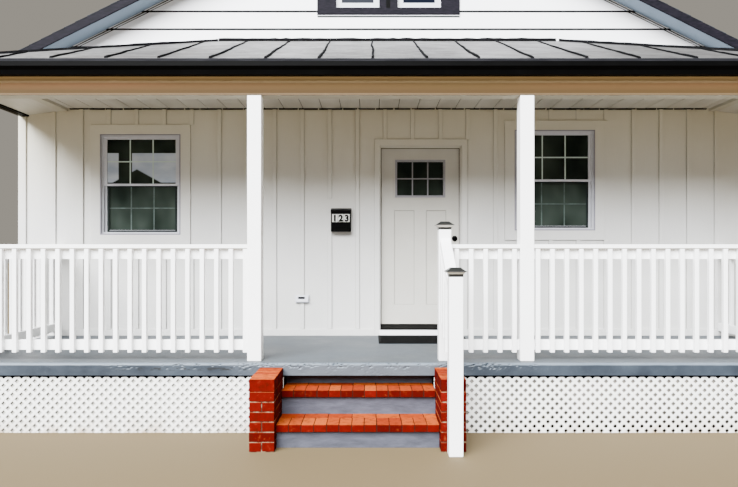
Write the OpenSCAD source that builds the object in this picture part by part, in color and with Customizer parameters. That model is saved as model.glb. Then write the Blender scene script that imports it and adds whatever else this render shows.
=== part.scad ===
// Small gabled house with a raised front porch. Millimetres, Z up, ground at Z = 0.
// The front faces -Y. Sizes called "up" are measured from the porch floor.

/* [House] */
// Width over the side walls
house_w = 8400; // [7600:10:9600]
// Length from the front wall to the back wall
house_l = 9750; // [8000:10:12000]
// Thickness of the outer walls
wall_t = 130; // [110:5:200]
// Height of the porch floor above the ground
porch_floor_h = 610; // [540:5:800]
// House floor above the porch floor
house_step = 105; // [90:1:140]
// Thickness of the framed house floor
floor_t = 250; // [200:5:300]
// Top of the front wall and attic floor, up
wall_top_up = 2700; // [2660:5:2760]
// Thickness of the attic floor
attic_t = 150; // [100:5:180]
// Thickness of the foundation walls
foundation_t = 200; // [180:5:300]
// Set-in of the foundation under the siding
foundation_in = 20; // [10:1:40]

/* [Main roof] */
// Top of the side walls under the roof, up
side_wall_up = 3014; // [2900:2:3200]
// Rise of the roof for each unit of run
roof_rise = 0.4997; // [0.46:0.001:0.53]
// Thickness of roof boards and shingles, measured upright
roof_t = 96; // [80:1:140]
// Overhang past the gables
rake_over = 269; // [150:1:400]
// Overhang past the side walls
eave_over = 270; // [150:1:400]
// Thickness of the roof boards under the shingles, measured upright
deck_t = 83; // [60:1:120]
// Thickness of the rake boards
rake_board_t = 22; // [16:1:30]
// Drop of the rake and eave boards below the roof boards
rake_drop = 14; // [10:1:30]
// Thickness of the soffit boards
soffit_t = 9; // [6:1:12]
// Leg of the ridge cap along each slope, in plan
ridge_cap_w = 150; // [100:5:200]
// Thickness of the ridge cap
ridge_cap_t = 12; // [8:1:20]

/* [Porch] */
// Side edge of the porch floor inside the side wall
porch_in = 300; // [200:10:400]
// Depth of the porch floor
porch_d = 1675; // [1500:5:1900]
// Thickness of the porch floor
porch_t = 108; // [90:1:140]
// Radius of the rounded floor edge
nosing_r = 24; // [10:1:40]
// Width of a porch post
post_w = 122; // [100:1:150]
// Front face of the posts behind the floor edge
post_in = 90; // [40:5:150]
// Centre of the left inner post
left_post_x = -1228; // [-1500:1:-1180]
// Centre of the right inner post
right_post_x = 1173; // [1000:1:1500]
// Centre of the corner posts inside the side wall
corner_post_in = 430; // [380:5:550]
// Underside of the porch beam, up
beam_up = 2336; // [2250:2:2400]
// Porch ceiling, up
ceiling_up = 2603; // [2600:1:2650]
// Edge of the boarded ceiling inside the side wall
ceiling_in = 540; // [500:5:700]
// Thickness of the ceiling boards
ceiling_t = 16; // [12:1:24]

/* [Porch roof] */
// Top of the porch roof at its edge, up
eave_up = 2640; // [2630:1:2700]
// Top of the porch roof at the wall, up
porch_ridge_up = 3365; // [3200:5:3450]
// Half width of the level top edge at the wall
porch_ridge_half_w = 1925; // [1500:5:2200]
// Thickness of the roof boards, measured upright
porch_roof_t = 28; // [20:1:40]
// Spacing of the standing seams
seam_step = 470; // [400:1:610]
// Seam nearest the middle
seam_x = -189; // [-230:1:230]
// Width of a seam
seam_w = 22; // [14:1:30]
// Height of a seam
seam_h = 26; // [15:1:38]
// Width of the gutters
gutter_w = 88; // [70:1:130]
// Height of the gutters
gutter_h = 116; // [90:1:130]
// Metal of the gutters
gutter_t = 3; // [2:0.5:5]

/* [Railing] */
// Top of the rail cap, up
rail_up = 1025; // [900:5:1070]
// Thickness of the rail cap
cap_t = 40; // [32:1:45]
// Width of the rail cap
cap_w = 110; // [89:1:140]
// Width of the sloping rail's cap
stair_cap_w = 92; // [60:1:108]
// Thickness of the rails
rail_t = 38; // [32:1:45]
// Height of the rails
rail_h = 89; // [70:1:100]
// Underside of the bottom rail, up
bottom_rail_up = 92; // [60:1:120]
// Width of a baluster
baluster_w = 38; // [30:1:45]
// Spacing of the balusters
baluster_step = 127; // [110:1:140]
// Foot of the balusters below the bottom rail
baluster_drop = 18; // [0:1:30]
// Underside of the side railings' bottom rail, up
side_rail_up = 57; // [40:1:92]

/* [Newels] */
// Width of a newel post
newel_w = 108; // [90:1:130]
// Centre of the newels from the middle
newel_x = 452; // [440:1:480]
// Top of the upper newel, up
upper_newel_up = 1156; // [1060:2:1250]
// Top of the lower newel, up
lower_newel_up = 769; // [680:2:850]
// Width of a newel cap
newel_cap_w = 160; // [130:1:190]
// Height of a newel cap
newel_cap_h = 72; // [50:1:90]
// Width of the flat top of a newel cap
newel_cap_top_w = 74; // [60:1:130]

/* [Steps] */
// Left side of the steps
steps_left_x = -959; // [-1050:1:-900]
// Right side of the steps
steps_right_x = 347; // [300:1:360]
// Top of the upper tread below the porch floor
upper_tread_down = 211; // [190:1:220]
// Top of the lower tread below the porch floor
lower_tread_down = 416; // [390:1:430]
// Thickness of the brick treads
tread_t = 60; // [50:1:70]
// Front of the upper tread past the porch floor
upper_tread_run = 106; // [60:1:140]
// Front of the lower tread past the porch floor
lower_tread_run = 403; // [350:1:440]
// Set-in of the risers under the treads
riser_in = 36; // [20:1:60]
// Riser under the porch floor, behind the floor edge
top_riser_in = 197; // [150:1:230]
// Back of the steps' core behind the floor edge
core_back_in = 295; // [250:1:330]
// Width of the brick piers
pier_w = 200; // [190:1:215]
// Length of the brick piers, from the floor edge
pier_l = 480; // [440:5:600]
// Top of the brick piers below the porch floor
pier_down = 38; // [20:1:60]

/* [Under the porch] */
// Width of a block pier under the floor
block_w = 300; // [200:10:400]
// Middle of the front block piers behind the floor edge
front_block_in = 255; // [240:5:400]
// Middle of the back block piers, out from the wall
back_block_out = 250; // [200:5:500]
// Face of the lattice behind the floor edge
lattice_in = 26; // [20:1:60]
// Thickness of the lattice
lattice_t = 12; // [9:1:20]
// Width of a lattice strip
strip_w = 30; // [26:1:42]
// Spacing of the lattice strips
strip_step = 55; // [52:1:70]

/* [Front door] */
// Middle of the door
door_x = 369; // [330:1:400]
// Width of the door
door_w = 914; // [860:1:930]
// Height of the door
door_h = 2032; // [1980:1:2060]
// Thickness of the door
door_t = 45; // [38:1:50]
// Bottom of the door, up
door_up = 122; // [118:1:145]
// Gap round the door
door_gap = 5; // [5:0.5:8]
// Bevel of the door's lock edge
lock_bevel = 2; // [1:0.5:4]
// Thickness of the jambs
jamb_t = 20; // [18:1:30]
// Width of the casing boards
casing_w = 58; // [50:1:90]
// Height of the head casing
head_casing_h = 72; // [60:1:100]
// Thickness of flat trim boards
trim_t = 20; // [18:1:28]
// Width of the glass in the door
lite_w = 532; // [450:1:560]
// Height of the glass in the door
lite_h = 388; // [350:1:420]
// Bottom of the glass above the door's bottom
lite_up = 1484; // [1450:1:1500]
// Frame round the glass in the door
lite_frame = 38; // [28:1:45]
// Width of a tall door panel
panel_w = 232; // [200:1:250]
// Height of a tall door panel
panel_h = 1087; // [1000:1:1110]
// Bottom of the tall panels above the door's bottom
panel_up = 225; // [200:1:260]
// Middle of a tall panel from the middle of the door
panel_x = 184; // [150:1:200]
// Depth of the door panels
panel_deep = 8; // [4:1:12]
// Radius of the deadbolt
deadbolt_r = 33; // [25:1:36]
// Deadbolt above the door's bottom
deadbolt_up = 987; // [950:1:1050]
// Handle above the door's bottom
handle_up = 752; // [720:1:850]
// Locks from the door's edge
backset = 60; // [55:1:75]
// Radius of the hinge knuckles
knuckle_r = 7; // [6:0.5:9]

/* [Windows] */
// Width of a window
window_w = 914; // [800:1:1000]
// Height of a window
window_h = 1142; // [1000:1:1200]
// Middle of the left window
left_window_x = -2829; // [-2950:1:-2700]
// Sill of the left window, up
left_window_up = 1152; // [1100:1:1200]
// Middle of the right window
right_window_x = 1896; // [1800:1:2400]
// Sill of the right window, up
right_window_up = 1201; // [1150:1:1250]
// Width of the trim round a window
window_trim_w = 112; // [90:1:130]
// Width of the outer window frame
frame_w = 28; // [20:1:34]
// Width of a sash stile
sash_w = 36; // [28:1:42]
// Height of a sash rail
sash_rail_h = 24; // [18:1:40]
// Depth of a window frame
frame_d = 90; // [80:1:100]
// Depth of a sash
sash_d = 30; // [25:1:34]
// Face of a window behind the wall face
window_in = 6; // [4:1:15]
// Thickness of the glass
glass_t = 6; // [4:1:12]
// Middle of the end windows in a side wall, from the wall's middle
side_window_y = 3000; // [2400:10:3400]
// Middle of a back window from the wall's middle
back_window_x = 2100; // [1500:10:2800]

/* [Gable window] */
// Width of one gable sash
gable_sash_w = 492; // [420:1:520]
// Height of the gable sashes
gable_sash_h = 700; // [600:1:760]
// Width of the dark post between the sashes
gable_mullion_w = 210; // [160:1:240]
// Width of the dark side boards
gable_side_w = 217; // [150:1:240]
// Bottom of the gable sashes below the peak
gable_sash_down = 1374; // [1300:1:1400]
// Height of the dark sill board
gable_sill_h = 72; // [50:1:90]
// Height of the dark head board
gable_head_h = 110; // [80:1:150]

/* [Wall fittings] */
// Width of the mailbox
mailbox_w = 231; // [200:1:260]
// Height of the mailbox
mailbox_h = 270; // [240:1:300]
// Depth of the mailbox
mailbox_d = 100; // [80:1:120]
// Sheet of the mailbox
mailbox_t = 2.5; // [2:0.5:4]
// Middle of the mailbox
mailbox_x = -539; // [-700:1:-450]
// Bottom of the mailbox, up
mailbox_up = 1184; // [1100:1:1300]
// Front lip of the mailbox lid
lid_lip = 52; // [40:1:60]
// Width of the outlet cover
outlet_w = 158; // [110:1:170]
// Height of the outlet cover
outlet_h = 88; // [70:1:115]
// Depth of the outlet cover
outlet_d = 45; // [25:1:60]
// Middle of the outlet cover
outlet_x = -982; // [-1100:1:-900]
// Middle of the outlet cover, up
outlet_up = 419; // [350:1:500]
// Length of the doormat
mat_l = 940; // [700:10:1000]
// Width of the doormat
mat_w = 560; // [400:10:620]
// Thickness of the doormat
mat_t = 10; // [8:1:20]
// Width of a corner board
corner_w = 66; // [60:1:120]
// Height of the base board
base_h = 73; // [50:1:120]

/* [Hidden] */
$fn = 48;
white = "white";
slate = "#3b4048";
roof_grey = "#b5b7b8";
floor_grey = "#8e9499";
brick = "#c2502a";
black = "#1c1c1e";
tan = "#a58a6a";

half_w = house_w / 2;
peak_up = side_wall_up + roof_rise * half_w;
porch_half_w = half_w - porch_in;
corner_post_x = half_w - corner_post_in;
ceiling_half_w = half_w - ceiling_in;
post_out = porch_d - post_in;
upper_tread_out = porch_d + upper_tread_run;
lower_tread_out = porch_d + lower_tread_run;
pier_out = porch_d + pier_l;

// Reach of the whole house in front of and behind the front wall's face
front_reach = pier_out + newel_w / 2 + newel_cap_w / 2;
back_reach = house_l + rake_over;
wall_y = (front_reach - back_reach) / 2;

ground = -porch_floor_h;
wall_foot = house_step - floor_t;
inner_x = half_w - wall_t;
eave_x = half_w + eave_over;
joint = 1;
fit_gap = 0.3;

// Porch roof slopes: rise for each unit of run, at the front and at the sides
fascia_t = 27;
fascia_out = post_out + fascia_t;
edge_over = 28;
roof_edge_out = fascia_out + edge_over;
gutter_top_up = eave_up - porch_roof_t - 2;
front_rise = (porch_ridge_up - eave_up) / roof_edge_out;
soffit_overlap = 100;
soffit_inner_x = ceiling_half_w + soffit_overlap;
side_fascia_in = 67;
side_fascia_x = half_w - side_fascia_in;
side_edge_x = side_fascia_x + edge_over;
side_gutter_x = side_fascia_x + gutter_w;

// Doorway in the front wall
jamb_x = door_w / 2 + door_gap;
open_x0 = door_x - jamb_x - jamb_t;
open_x1 = door_x + jamb_x + jamb_t;
open_head = door_up + door_h + door_gap + jamb_t;
reveal = 8;
casing_x0 = door_x - jamb_x - reveal - casing_w;
casing_x1 = door_x + jamb_x + reveal + casing_w;
threshold_t = 44;
threshold_clear = 10;
door_in = wall_t - door_t - 5;
tongue_up = door_up - threshold_clear - threshold_t;
hinge_x = door_x - door_w / 2 - door_gap / 2;
hinge_out = door_in + door_t + knuckle_r + 0.5;
hinge_h = 100;
hinge_leaf_w = 35;
hinge_end = 180;
hinge_ups = [door_up + hinge_end, door_up + (door_h - hinge_h) / 2,
  door_up + door_h - hinge_end - hinge_h];

// Railing and newels
rail_y = -post_out + post_w / 2;
top_rail_up = rail_up - cap_t - rail_h;
newel_y = rail_y;
lower_newel_y = -pier_out - newel_w / 2;
left_first = 19;
middle_first = 49;
right_first = 36;
side_first = 60;
weld = 0.01;
stair_top_up = upper_newel_up - 76;
stair_foot_up = lower_newel_up - 85;
stair_panel_h = 640;
side_beam_drop = 42;
soffit_fall = 43;
fascia_drop = 103;
lid_hinge_r = 3.5;
lid_top = 9;
lid_gap = 0.5;
mailbox_slope = 22;
lattice_half_w = porch_half_w - 20;

// Height of the main roof's underside over a distance from the middle
function under(x) = peak_up - roof_rise * abs(x);

// Height of the wall tops, seated just under the roof
function wall_top(x) = under(x) - fit_gap;

// Everything is drawn from the front wall's face, with the porch floor at 0
module place() translate([0, wall_y, porch_floor_h]) children();

// Block between two values on each axis
module block(x0, x1, y0, y1, z0, z1) translate([x0, y0, z0]) cube([x1 - x0, y1 - y0, z1 - z0]);

// Outline in Y and Z, drawn out along X
module along_x(x0, x1, outline) {
  translate([x0, 0, 0]) rotate([90, 0, 90]) linear_extrude(x1 - x0) polygon(outline);
}

// Outline in X and Z, drawn out along Y
module along_y(y0, y1, outline) {
  translate([0, y1, 0]) rotate([90, 0, 0]) linear_extrude(y1 - y0) polygon(outline);
}

// Upright bar of square section
module post(x, y, w, z0, z1) block(x - w / 2, x + w / 2, y - w / 2, y + w / 2, z0, z1);

// A flat frame of boards round an opening, standing in the X-Z plane: uprights of
// width w, and level boards of height h
module frame_ring(x0, x1, z0, z1, w, h, y0, y1) {
  difference() {
    block(x0, x1, y0, y1, z0, z1);
    block(x0 + w, x1 - w, y0 - 1, y1 + 1, z0 + h, z1 - h);
  }
}

// Puts a piece that is drawn for the front wall on each wall that repeats it
module at_left_wall(y) translate([-half_w, y, 0]) rotate(-90) children();
module at_right_wall(y) translate([half_w, y, 0]) rotate(90) children();
module at_back_wall(x) translate([x, house_l, 0]) rotate(180) children();

side_window_ys = [for (k = [-1 : 1]) house_l / 2 + k * side_window_y];
side_window_up = (left_window_up + right_window_up) / 2;

// Draws children once at each window of the side walls and the back wall
module at_side_windows() {
  for (y = side_window_ys) {
    at_left_wall(y) children();
    at_right_wall(y) children();
  }
}

module at_back_windows() for (s = [-1, 1]) at_back_wall(s * back_window_x) children();

// Every main window, each with its middle at X = 0 and its sill at Z = 0
module at_windows() {
  translate([left_window_x, 0, left_window_up]) children();
  translate([right_window_x, 0, right_window_up]) children();
  translate([0, 0, side_window_up]) {
    at_side_windows() children();
    at_back_windows() children();
  }
}

module window_hole() block(-window_w / 2, window_w / 2, -trim_t, wall_t + 1, 0, window_h);

// House body

module foundation() {
  o = half_w - foundation_in;
  i = o - foundation_t;
  color(floor_grey) place() difference() {
    block(-o, o, foundation_in, house_l - foundation_in, ground, wall_foot);
    block(-i, i, foundation_in + foundation_t, house_l - foundation_in - foundation_t,
      ground - 1, wall_foot + 1);
  }
}

module house_floor() {
  color("#9c8466") place() {
    block(-inner_x, inner_x, wall_t, house_l - wall_t, wall_foot, house_step);
    block(open_x0, open_x1, 0, wall_t + 1, wall_foot, tongue_up);
  }
}

module attic_floor() {
  color("#d8d4cb") place()
    block(-inner_x, inner_x, wall_t, house_l - wall_t, wall_top_up - attic_t, wall_top_up);
}

module front_wall_left() {
  color(white) place() difference() {
    block(-half_w, open_x0, 0, wall_t, wall_foot, wall_top_up);
    translate([left_window_x, 0, left_window_up]) window_hole();
  }
}

module front_wall_right() {
  color(white) place() difference() {
    block(open_x1, half_w, 0, wall_t, wall_foot, wall_top_up);
    translate([right_window_x, 0, right_window_up]) window_hole();
  }
}

module front_wall_over_door() {
  color(white) place() block(open_x0, open_x1, 0, wall_t, open_head, wall_top_up);
}

// Side wall whose top is cut to the slope of the roof
module side_wall(s) {
  difference() {
    along_y(wall_t, house_l - wall_t, [
      [s * half_w, wall_foot], [s * half_w, wall_top(half_w)],
      [s * inner_x, wall_top(inner_x)], [s * inner_x, wall_foot]
    ]);
    translate([0, 0, side_window_up]) at_side_windows() window_hole();
  }
}

module left_wall() color(white) place() side_wall(-1);

module right_wall() color(white) place() side_wall(1);

module back_wall() {
  color(white) place() difference() {
    block(-half_w, half_w, house_l - wall_t, house_l, wall_foot, wall_top_up);
    translate([0, 0, side_window_up]) at_back_windows() window_hole();
  }
}

gable_open_w = 2 * gable_sash_w + gable_mullion_w;
gable_sash_up = peak_up - gable_sash_down;

module gable() {
  difference() {
    along_y(0, wall_t, [
      [-half_w, wall_top_up], [-half_w, wall_top(half_w)], [0, wall_top(0)],
      [half_w, wall_top(half_w)], [half_w, wall_top_up]
    ]);
    block(-gable_open_w / 2, gable_open_w / 2, -1, wall_t + 1,
      gable_sash_up, gable_sash_up + gable_sash_h);
  }
}

module front_gable() color(white) place() gable();

module back_gable() color(white) place() at_back_wall(0) gable();

// One slope of the main roof: the boards stop at the trim, the shingles cover it
module roof_slope(s) {
  deck_x = eave_x - rake_board_t;
  deck_y = rake_over - rake_board_t;
  along_y(-deck_y, house_l + deck_y, [
    [0, peak_up], [s * deck_x, under(deck_x)],
    [s * deck_x, under(deck_x) + deck_t], [0, peak_up + deck_t]
  ]);
  along_y(-rake_over, house_l + rake_over, [
    [0, peak_up + deck_t], [s * eave_x, under(eave_x) + deck_t],
    [s * eave_x, under(eave_x) + roof_t], [0, peak_up + roof_t]
  ]);
}

module roof_left() color(slate) place() roof_slope(-1);

module roof_right() color(slate) place() roof_slope(1);

module ridge_cap() {
  top = peak_up + roof_t + fit_gap;
  drop = roof_rise * ridge_cap_w;
  color(slate) place() along_y(-rake_over, house_l + rake_over, [
    [0, top], [-ridge_cap_w, top - drop], [-ridge_cap_w, top - drop + ridge_cap_t],
    [0, top + ridge_cap_t], [ridge_cap_w, top - drop + ridge_cap_t], [ridge_cap_w, top - drop]
  ]);
}

// Dark boards along the gable edges of the roof
module rake_boards() {
  end_x = eave_x - rake_board_t - joint;
  high = deck_t - fit_gap;
  along_y(-rake_over + 2, -rake_over + rake_board_t, [
    [0, peak_up - rake_drop], [-end_x, under(end_x) - rake_drop], [-end_x, under(end_x) + high],
    [0, peak_up + high], [end_x, under(end_x) + high], [end_x, under(end_x) - rake_drop]
  ]);
}

module front_rake_boards() color(slate) place() rake_boards();

module back_rake_boards() color(slate) place() at_back_wall(0) rake_boards();

module eave_boards() {
  in_x = eave_x - rake_board_t + fit_gap;
  shy = 2;
  out_x = eave_x - shy;
  foot = under(in_x) - rake_drop;
  color(slate) place() for (s = [-1, 1])
    along_y(-rake_over + shy, house_l + rake_over - shy, [
      [s * in_x, foot], [s * out_x, foot],
      [s * out_x, under(out_x) + deck_t - fit_gap], [s * in_x, under(in_x) + deck_t - fit_gap]
    ]);
}

// Boards under the overhangs: a pair along each gable, and one beside each side wall
module soffit_boards() {
  low = soffit_t + fit_gap;
  gable_x = eave_x - rake_board_t - joint;
  side_x = half_w + trim_t + joint;
  color("#aab4c0") place() {
    for (ends = [[-rake_over + rake_board_t + joint, -fit_gap],
                 [house_l + fit_gap, house_l + rake_over - rake_board_t - joint]])
      along_y(ends[0], ends[1], [
        [0, peak_up - low], [-gable_x, under(gable_x) - low], [-gable_x, under(gable_x) - fit_gap],
        [0, peak_up - fit_gap], [gable_x, under(gable_x) - fit_gap], [gable_x, under(gable_x) - low]
      ]);
    for (s = [-1, 1]) along_y(joint, house_l - joint, [
      [s * side_x, under(side_x) - low], [s * gable_x, under(gable_x) - low],
      [s * gable_x, under(gable_x) - fit_gap], [s * side_x, under(side_x) - fit_gap]
    ]);
  }
}

// Flat white trim

// Corner board for the left front corner: one leg on the front, one on the side
module corner_board() {
  lap_up = ceiling_up - soffit_overlap;
  block(-half_w - trim_t, -half_w + corner_w, -trim_t, 0, wall_foot, lap_up);
  block(-half_w - trim_t, -half_w, -trim_t, corner_w, wall_foot, lap_up);
  block(-half_w - trim_t, -half_w, 0, corner_w, lap_up - 1, wall_top(half_w + trim_t) - soffit_t - joint);
}

module corner_boards() {
  color(white) place() {
    corner_board();
    mirror([1, 0, 0]) corner_board();
    at_back_wall(0) {
      corner_board();
      mirror([1, 0, 0]) corner_board();
    }
  }
}

module base_boards() {
  end_x = half_w - corner_w - joint;
  color(white) place() {
    block(-end_x, casing_x0 - joint, -trim_t, 0, 0, base_h);
    block(casing_x1 + joint, end_x, -trim_t, 0, 0, base_h);
  }
}

module window_trim() {
  color(white) place() at_windows()
    frame_ring(-window_w / 2 - window_trim_w, window_w / 2 + window_trim_w,
      -window_trim_w, window_h + window_trim_w, window_trim_w, window_trim_w, -trim_t, 0);
}

// Windows: an outer frame, an upper sash in front and a lower sash behind it

sash_in = window_in + 8;
half_rail = sash_rail_h / 2;

module window_frame() {
  meet = window_h / 2;
  x = window_w / 2;
  in_x = x - frame_w;
  frame_ring(-x, x, 0, window_h, frame_w, frame_w, window_in, window_in + frame_d);
  frame_ring(-in_x, in_x, meet - half_rail, window_h - frame_w, sash_w, sash_rail_h,
    sash_in, sash_in + sash_d);
  frame_ring(-in_x, in_x, frame_w, meet + half_rail, sash_w, sash_rail_h,
    sash_in + sash_d, sash_in + 2 * sash_d);
}

module window_panes() {
  meet = window_h / 2;
  x = window_w / 2 - frame_w - sash_w;
  y_up = sash_in + (sash_d - glass_t) / 2;
  y_low = y_up + sash_d;
  block(-x, x, y_up, y_up + glass_t, meet + half_rail, window_h - frame_w - sash_rail_h);
  block(-x, x, y_low, y_low + glass_t, frame_w + sash_rail_h, meet - half_rail);
}

gable_sash_x = (gable_mullion_w + gable_sash_w) / 2;
gable_sash_t = 46;
gable_sash_in = 8;
gable_glass_in = 28;
gable_edge = sash_w + frame_w;

module at_gable_sashes() {
  for (s = [-1, 1]) translate([s * gable_sash_x, 0, gable_sash_up]) children();
}

module gable_sashes() {
  at_gable_sashes() frame_ring(-gable_sash_w / 2, gable_sash_w / 2, 0, gable_sash_h,
    gable_edge, gable_edge, gable_sash_in, gable_sash_in + gable_sash_t);
}

module gable_panes() {
  at_gable_sashes() block(-gable_sash_w / 2 + gable_edge, gable_sash_w / 2 - gable_edge,
    gable_glass_in, gable_glass_in + glass_t, gable_edge, gable_sash_h - gable_edge);
}

module window_frames() {
  color(white) place() {
    at_windows() window_frame();
    gable_sashes();
    at_back_wall(0) gable_sashes();
  }
}

module window_glass() {
  color("#7c93a0", 0.5) place() {
    at_windows() window_panes();
    gable_panes();
    at_back_wall(0) gable_panes();
  }
}

// Dark boards round a pair of gable sashes, with the post between them
module gable_trim() {
  x = gable_open_w / 2;
  out_x = x + gable_side_w;
  top = gable_sash_up + gable_sash_h;
  proud = trim_t + 6;
  difference() {
    block(-out_x, out_x, -proud, 0, gable_sash_up - gable_sill_h, top + gable_head_h);
    at_gable_sashes() block(-gable_sash_w / 2, gable_sash_w / 2, -proud - 1, 1, 0, gable_sash_h);
  }
  block(-gable_mullion_w / 2, gable_mullion_w / 2, -1, wall_t, gable_sash_up, top);
}

module gable_window_trim() {
  color(slate) place() {
    gable_trim();
    at_back_wall(0) gable_trim();
  }
}

// Front door

module door_hinge_side(parts) {
  third = hinge_h / 3;
  for (z = hinge_ups, k = parts)
    translate([hinge_x, hinge_out, z + k * third + fit_gap / 2])
      cylinder(r = knuckle_r, h = third - fit_gap);
}

module door_frame() {
  in0 = door_x - jamb_x;
  in1 = door_x + jamb_x;
  jamb_back = door_in + door_t;
  stop_y = door_in - 5;
  stop_w = 8;
  stop_t = 14;
  head = open_head - jamb_t;
  third = hinge_h / 3;
  color(white) place() {
    difference() {
      block(open_x0, open_x1, 0, jamb_back, tongue_up, open_head);
      block(in0, in1, -1, jamb_back + 1, tongue_up - 1, head);
    }
    difference() {
      block(casing_x0, casing_x1, -trim_t, 0, 0, head + reveal + head_casing_h);
      block(in0 - reveal, in1 + reveal, -trim_t - 1, 1, -1, head + reveal);
    }
    difference() {
      block(in0, in1, stop_y - stop_t, stop_y, door_up, head);
      block(in0 + stop_w, in1 - stop_w, stop_y - stop_t - 1, stop_y + 1, door_up - 1, head - stop_w);
    }
    door_hinge_side([0, 2]);
    for (z = hinge_ups, k = [0, 2])
      block(in0, hinge_x - 0.5, jamb_back - hinge_leaf_w, hinge_out, z + k * third + fit_gap / 2,
        z + (k + 1) * third - fit_gap / 2);
  }
}

module door_sill() {
  color("#e6e3dc") place()
    block(door_x - jamb_x - reveal, door_x + jamb_x + reveal, -trim_t - 12, 0, 0, tongue_up);
}

module threshold() {
  nose = -trim_t - 16;
  top = tongue_up + threshold_t;
  color(black) place() along_x(door_x - jamb_x, door_x + jamb_x, [
    [nose, tongue_up], [nose, tongue_up + 14], [door_in - 20, top],
    [wall_t, top], [wall_t, tongue_up]
  ]);
}

lite_x = lite_w / 2;

// The door's slab is drawn from the middle of its bottom front edge
module at_door() translate([door_x, door_in, door_up]) children();

module door() {
  x = door_w / 2;
  fx = lite_x + lite_frame;
  third = hinge_h / 3;
  color(white) place() {
    at_door() difference() {
      union() {
        linear_extrude(door_h) polygon([[-x, 0], [x - lock_bevel, 0], [x, door_t], [-x, door_t]]);
        block(-fx, fx, -8, door_t + 8, lite_up - lite_frame, lite_up + lite_h + lite_frame);
      }
      block(-lite_x, lite_x, -20, door_t + 20, lite_up, lite_up + lite_h);
      for (s = [-1, 1], y = [-1, door_t - panel_deep])
        block(s * panel_x - panel_w / 2, s * panel_x + panel_w / 2, y, y + panel_deep + 1,
          panel_up, panel_up + panel_h);
    }
    door_hinge_side([1]);
    for (z = hinge_ups)
      block(hinge_x + 0.5, door_x - x, door_in + door_t - hinge_leaf_w, hinge_out, z + third + fit_gap / 2,
        z + 2 * third - fit_gap / 2);
  }
}

module door_glass() {
  color("#4c5a62", 0.6) place() at_door()
    block(-lite_x, lite_x, door_t / 2 - 8, door_t / 2 + 8, lite_up, lite_up + lite_h);
}

// Deadbolt and lever set, on both faces of the door
module door_lock() {
  x = door_w / 2 - backset;
  plate_h = 14;
  turn_h = 10;
  rose_h = 12;
  stem_r = 11;
  reach = 55;
  lever = [121, 18, 14];
  color(black) place() at_door() for (face = [0, 1])
    translate([x, face * door_t, 0]) rotate([face == 0 ? 90 : -90, 0, 0]) {
      y = face == 0 ? 1 : -1;
      translate([0, y * deadbolt_up, 0]) {
        cylinder(r = deadbolt_r, h = plate_h);
        translate([0, 0, plate_h]) cylinder(r = deadbolt_r * 0.62, h = turn_h);
      }
      translate([0, y * handle_up, 0]) {
        cylinder(r = deadbolt_r, h = rose_h);
        cylinder(r = stem_r, h = reach);
        translate([stem_r - lever[0], -lever[1] / 2, reach - lever[2]]) cube(lever);
      }
    }
}

// Porch floor and what is under it

module porch_floor() {
  r = nosing_r;
  round_edge = [for (a = [0 : 15 : 90]) [-porch_d + r - r * sin(a), -r + r * cos(a)]];
  color(floor_grey) place() along_x(-porch_half_w, porch_half_w,
    concat([[0, -porch_t], [0, 0]], round_edge, [[-porch_d, -porch_t]]));
}

module block_piers() {
  clear = 8;
  clear_of_steps = 60;
  corner_x = lattice_half_w - lattice_t - block_w / 2 - clear;
  xs = [-corner_x, left_post_x - clear_of_steps, right_post_x, corner_x];
  color("#a3a09a") place() for (x = xs, out = [porch_d - front_block_in, back_block_out])
    post(x, -out, block_w, ground, -porch_t);
}

// Diagonal lattice panel of a given length, standing on the ground, face at Y = 0
module lattice_panel(l) {
  step = strip_step * sqrt(2);
  gap = strip_step - strip_w;
  h = -porch_t - ground;
  across = floor(l / step - 0.5);
  rows = floor(2 * h / step - 0.5);
  x0 = (l - across * step) / 2;
  z0 = (h - rows * step / 2) / 2;
  translate([0, lattice_t, 0]) rotate([90, 0, 0]) linear_extrude(lattice_t) difference() {
    square([l, h]);
    for (j = [0 : rows], i = [0 : across - j % 2])
      translate([x0 + (i + (j % 2) / 2) * step, z0 + j * step / 2])
        rotate(45) square(gap, center = true);
  }
}

lattice_y = -porch_d + lattice_in;

module lattice_left() {
  color(white) place() translate([-lattice_half_w, lattice_y, ground])
    lattice_panel(steps_left_x + lattice_half_w);
}

module lattice_right() {
  color(white) place() translate([steps_right_x, lattice_y, ground])
    lattice_panel(lattice_half_w - steps_right_x);
}

module lattice_sides() {
  l = -lattice_y - lattice_t - joint;
  color(white) place() for (s = [0, 1]) mirror([s, 0, 0])
    translate([-lattice_half_w, 0, ground]) rotate(-90) lattice_panel(l);
}

// Steps between two brick piers

module step_core() {
  up1 = -lower_tread_down - tread_t;
  up2 = -upper_tread_down - tread_t;
  riser1 = -lower_tread_out + riser_in;
  riser2 = -upper_tread_out + riser_in;
  top_riser = porch_d - top_riser_in;
  back = porch_d - core_back_in;
  color(floor_grey) place() along_x(steps_left_x, steps_right_x, [
    [riser1, ground], [riser1, up1], [riser2, up1], [riser2, up2],
    [-top_riser, up2], [-top_riser, -porch_t], [-back, -porch_t], [-back, ground]
  ]);
}

module step_treads() {
  color(brick) place() {
    block(steps_left_x, steps_right_x, -upper_tread_out, top_riser_in - porch_d,
      -upper_tread_down - tread_t, -upper_tread_down);
    block(steps_left_x, steps_right_x, -lower_tread_out, -upper_tread_out + riser_in,
      -lower_tread_down - tread_t, -lower_tread_down);
  }
}

module step_piers() {
  color(brick) place() {
    block(steps_left_x - pier_w, steps_left_x, -pier_out, -porch_d, ground, -pier_down);
    block(steps_right_x, steps_right_x + pier_w, -pier_out, -porch_d, ground, -pier_down);
  }
}

// Posts and railings

post_xs = [-corner_post_x, left_post_x, right_post_x, corner_post_x];

module porch_posts() color(white) place() for (x = post_xs) post(x, rail_y, post_w, 0, beam_up);

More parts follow.
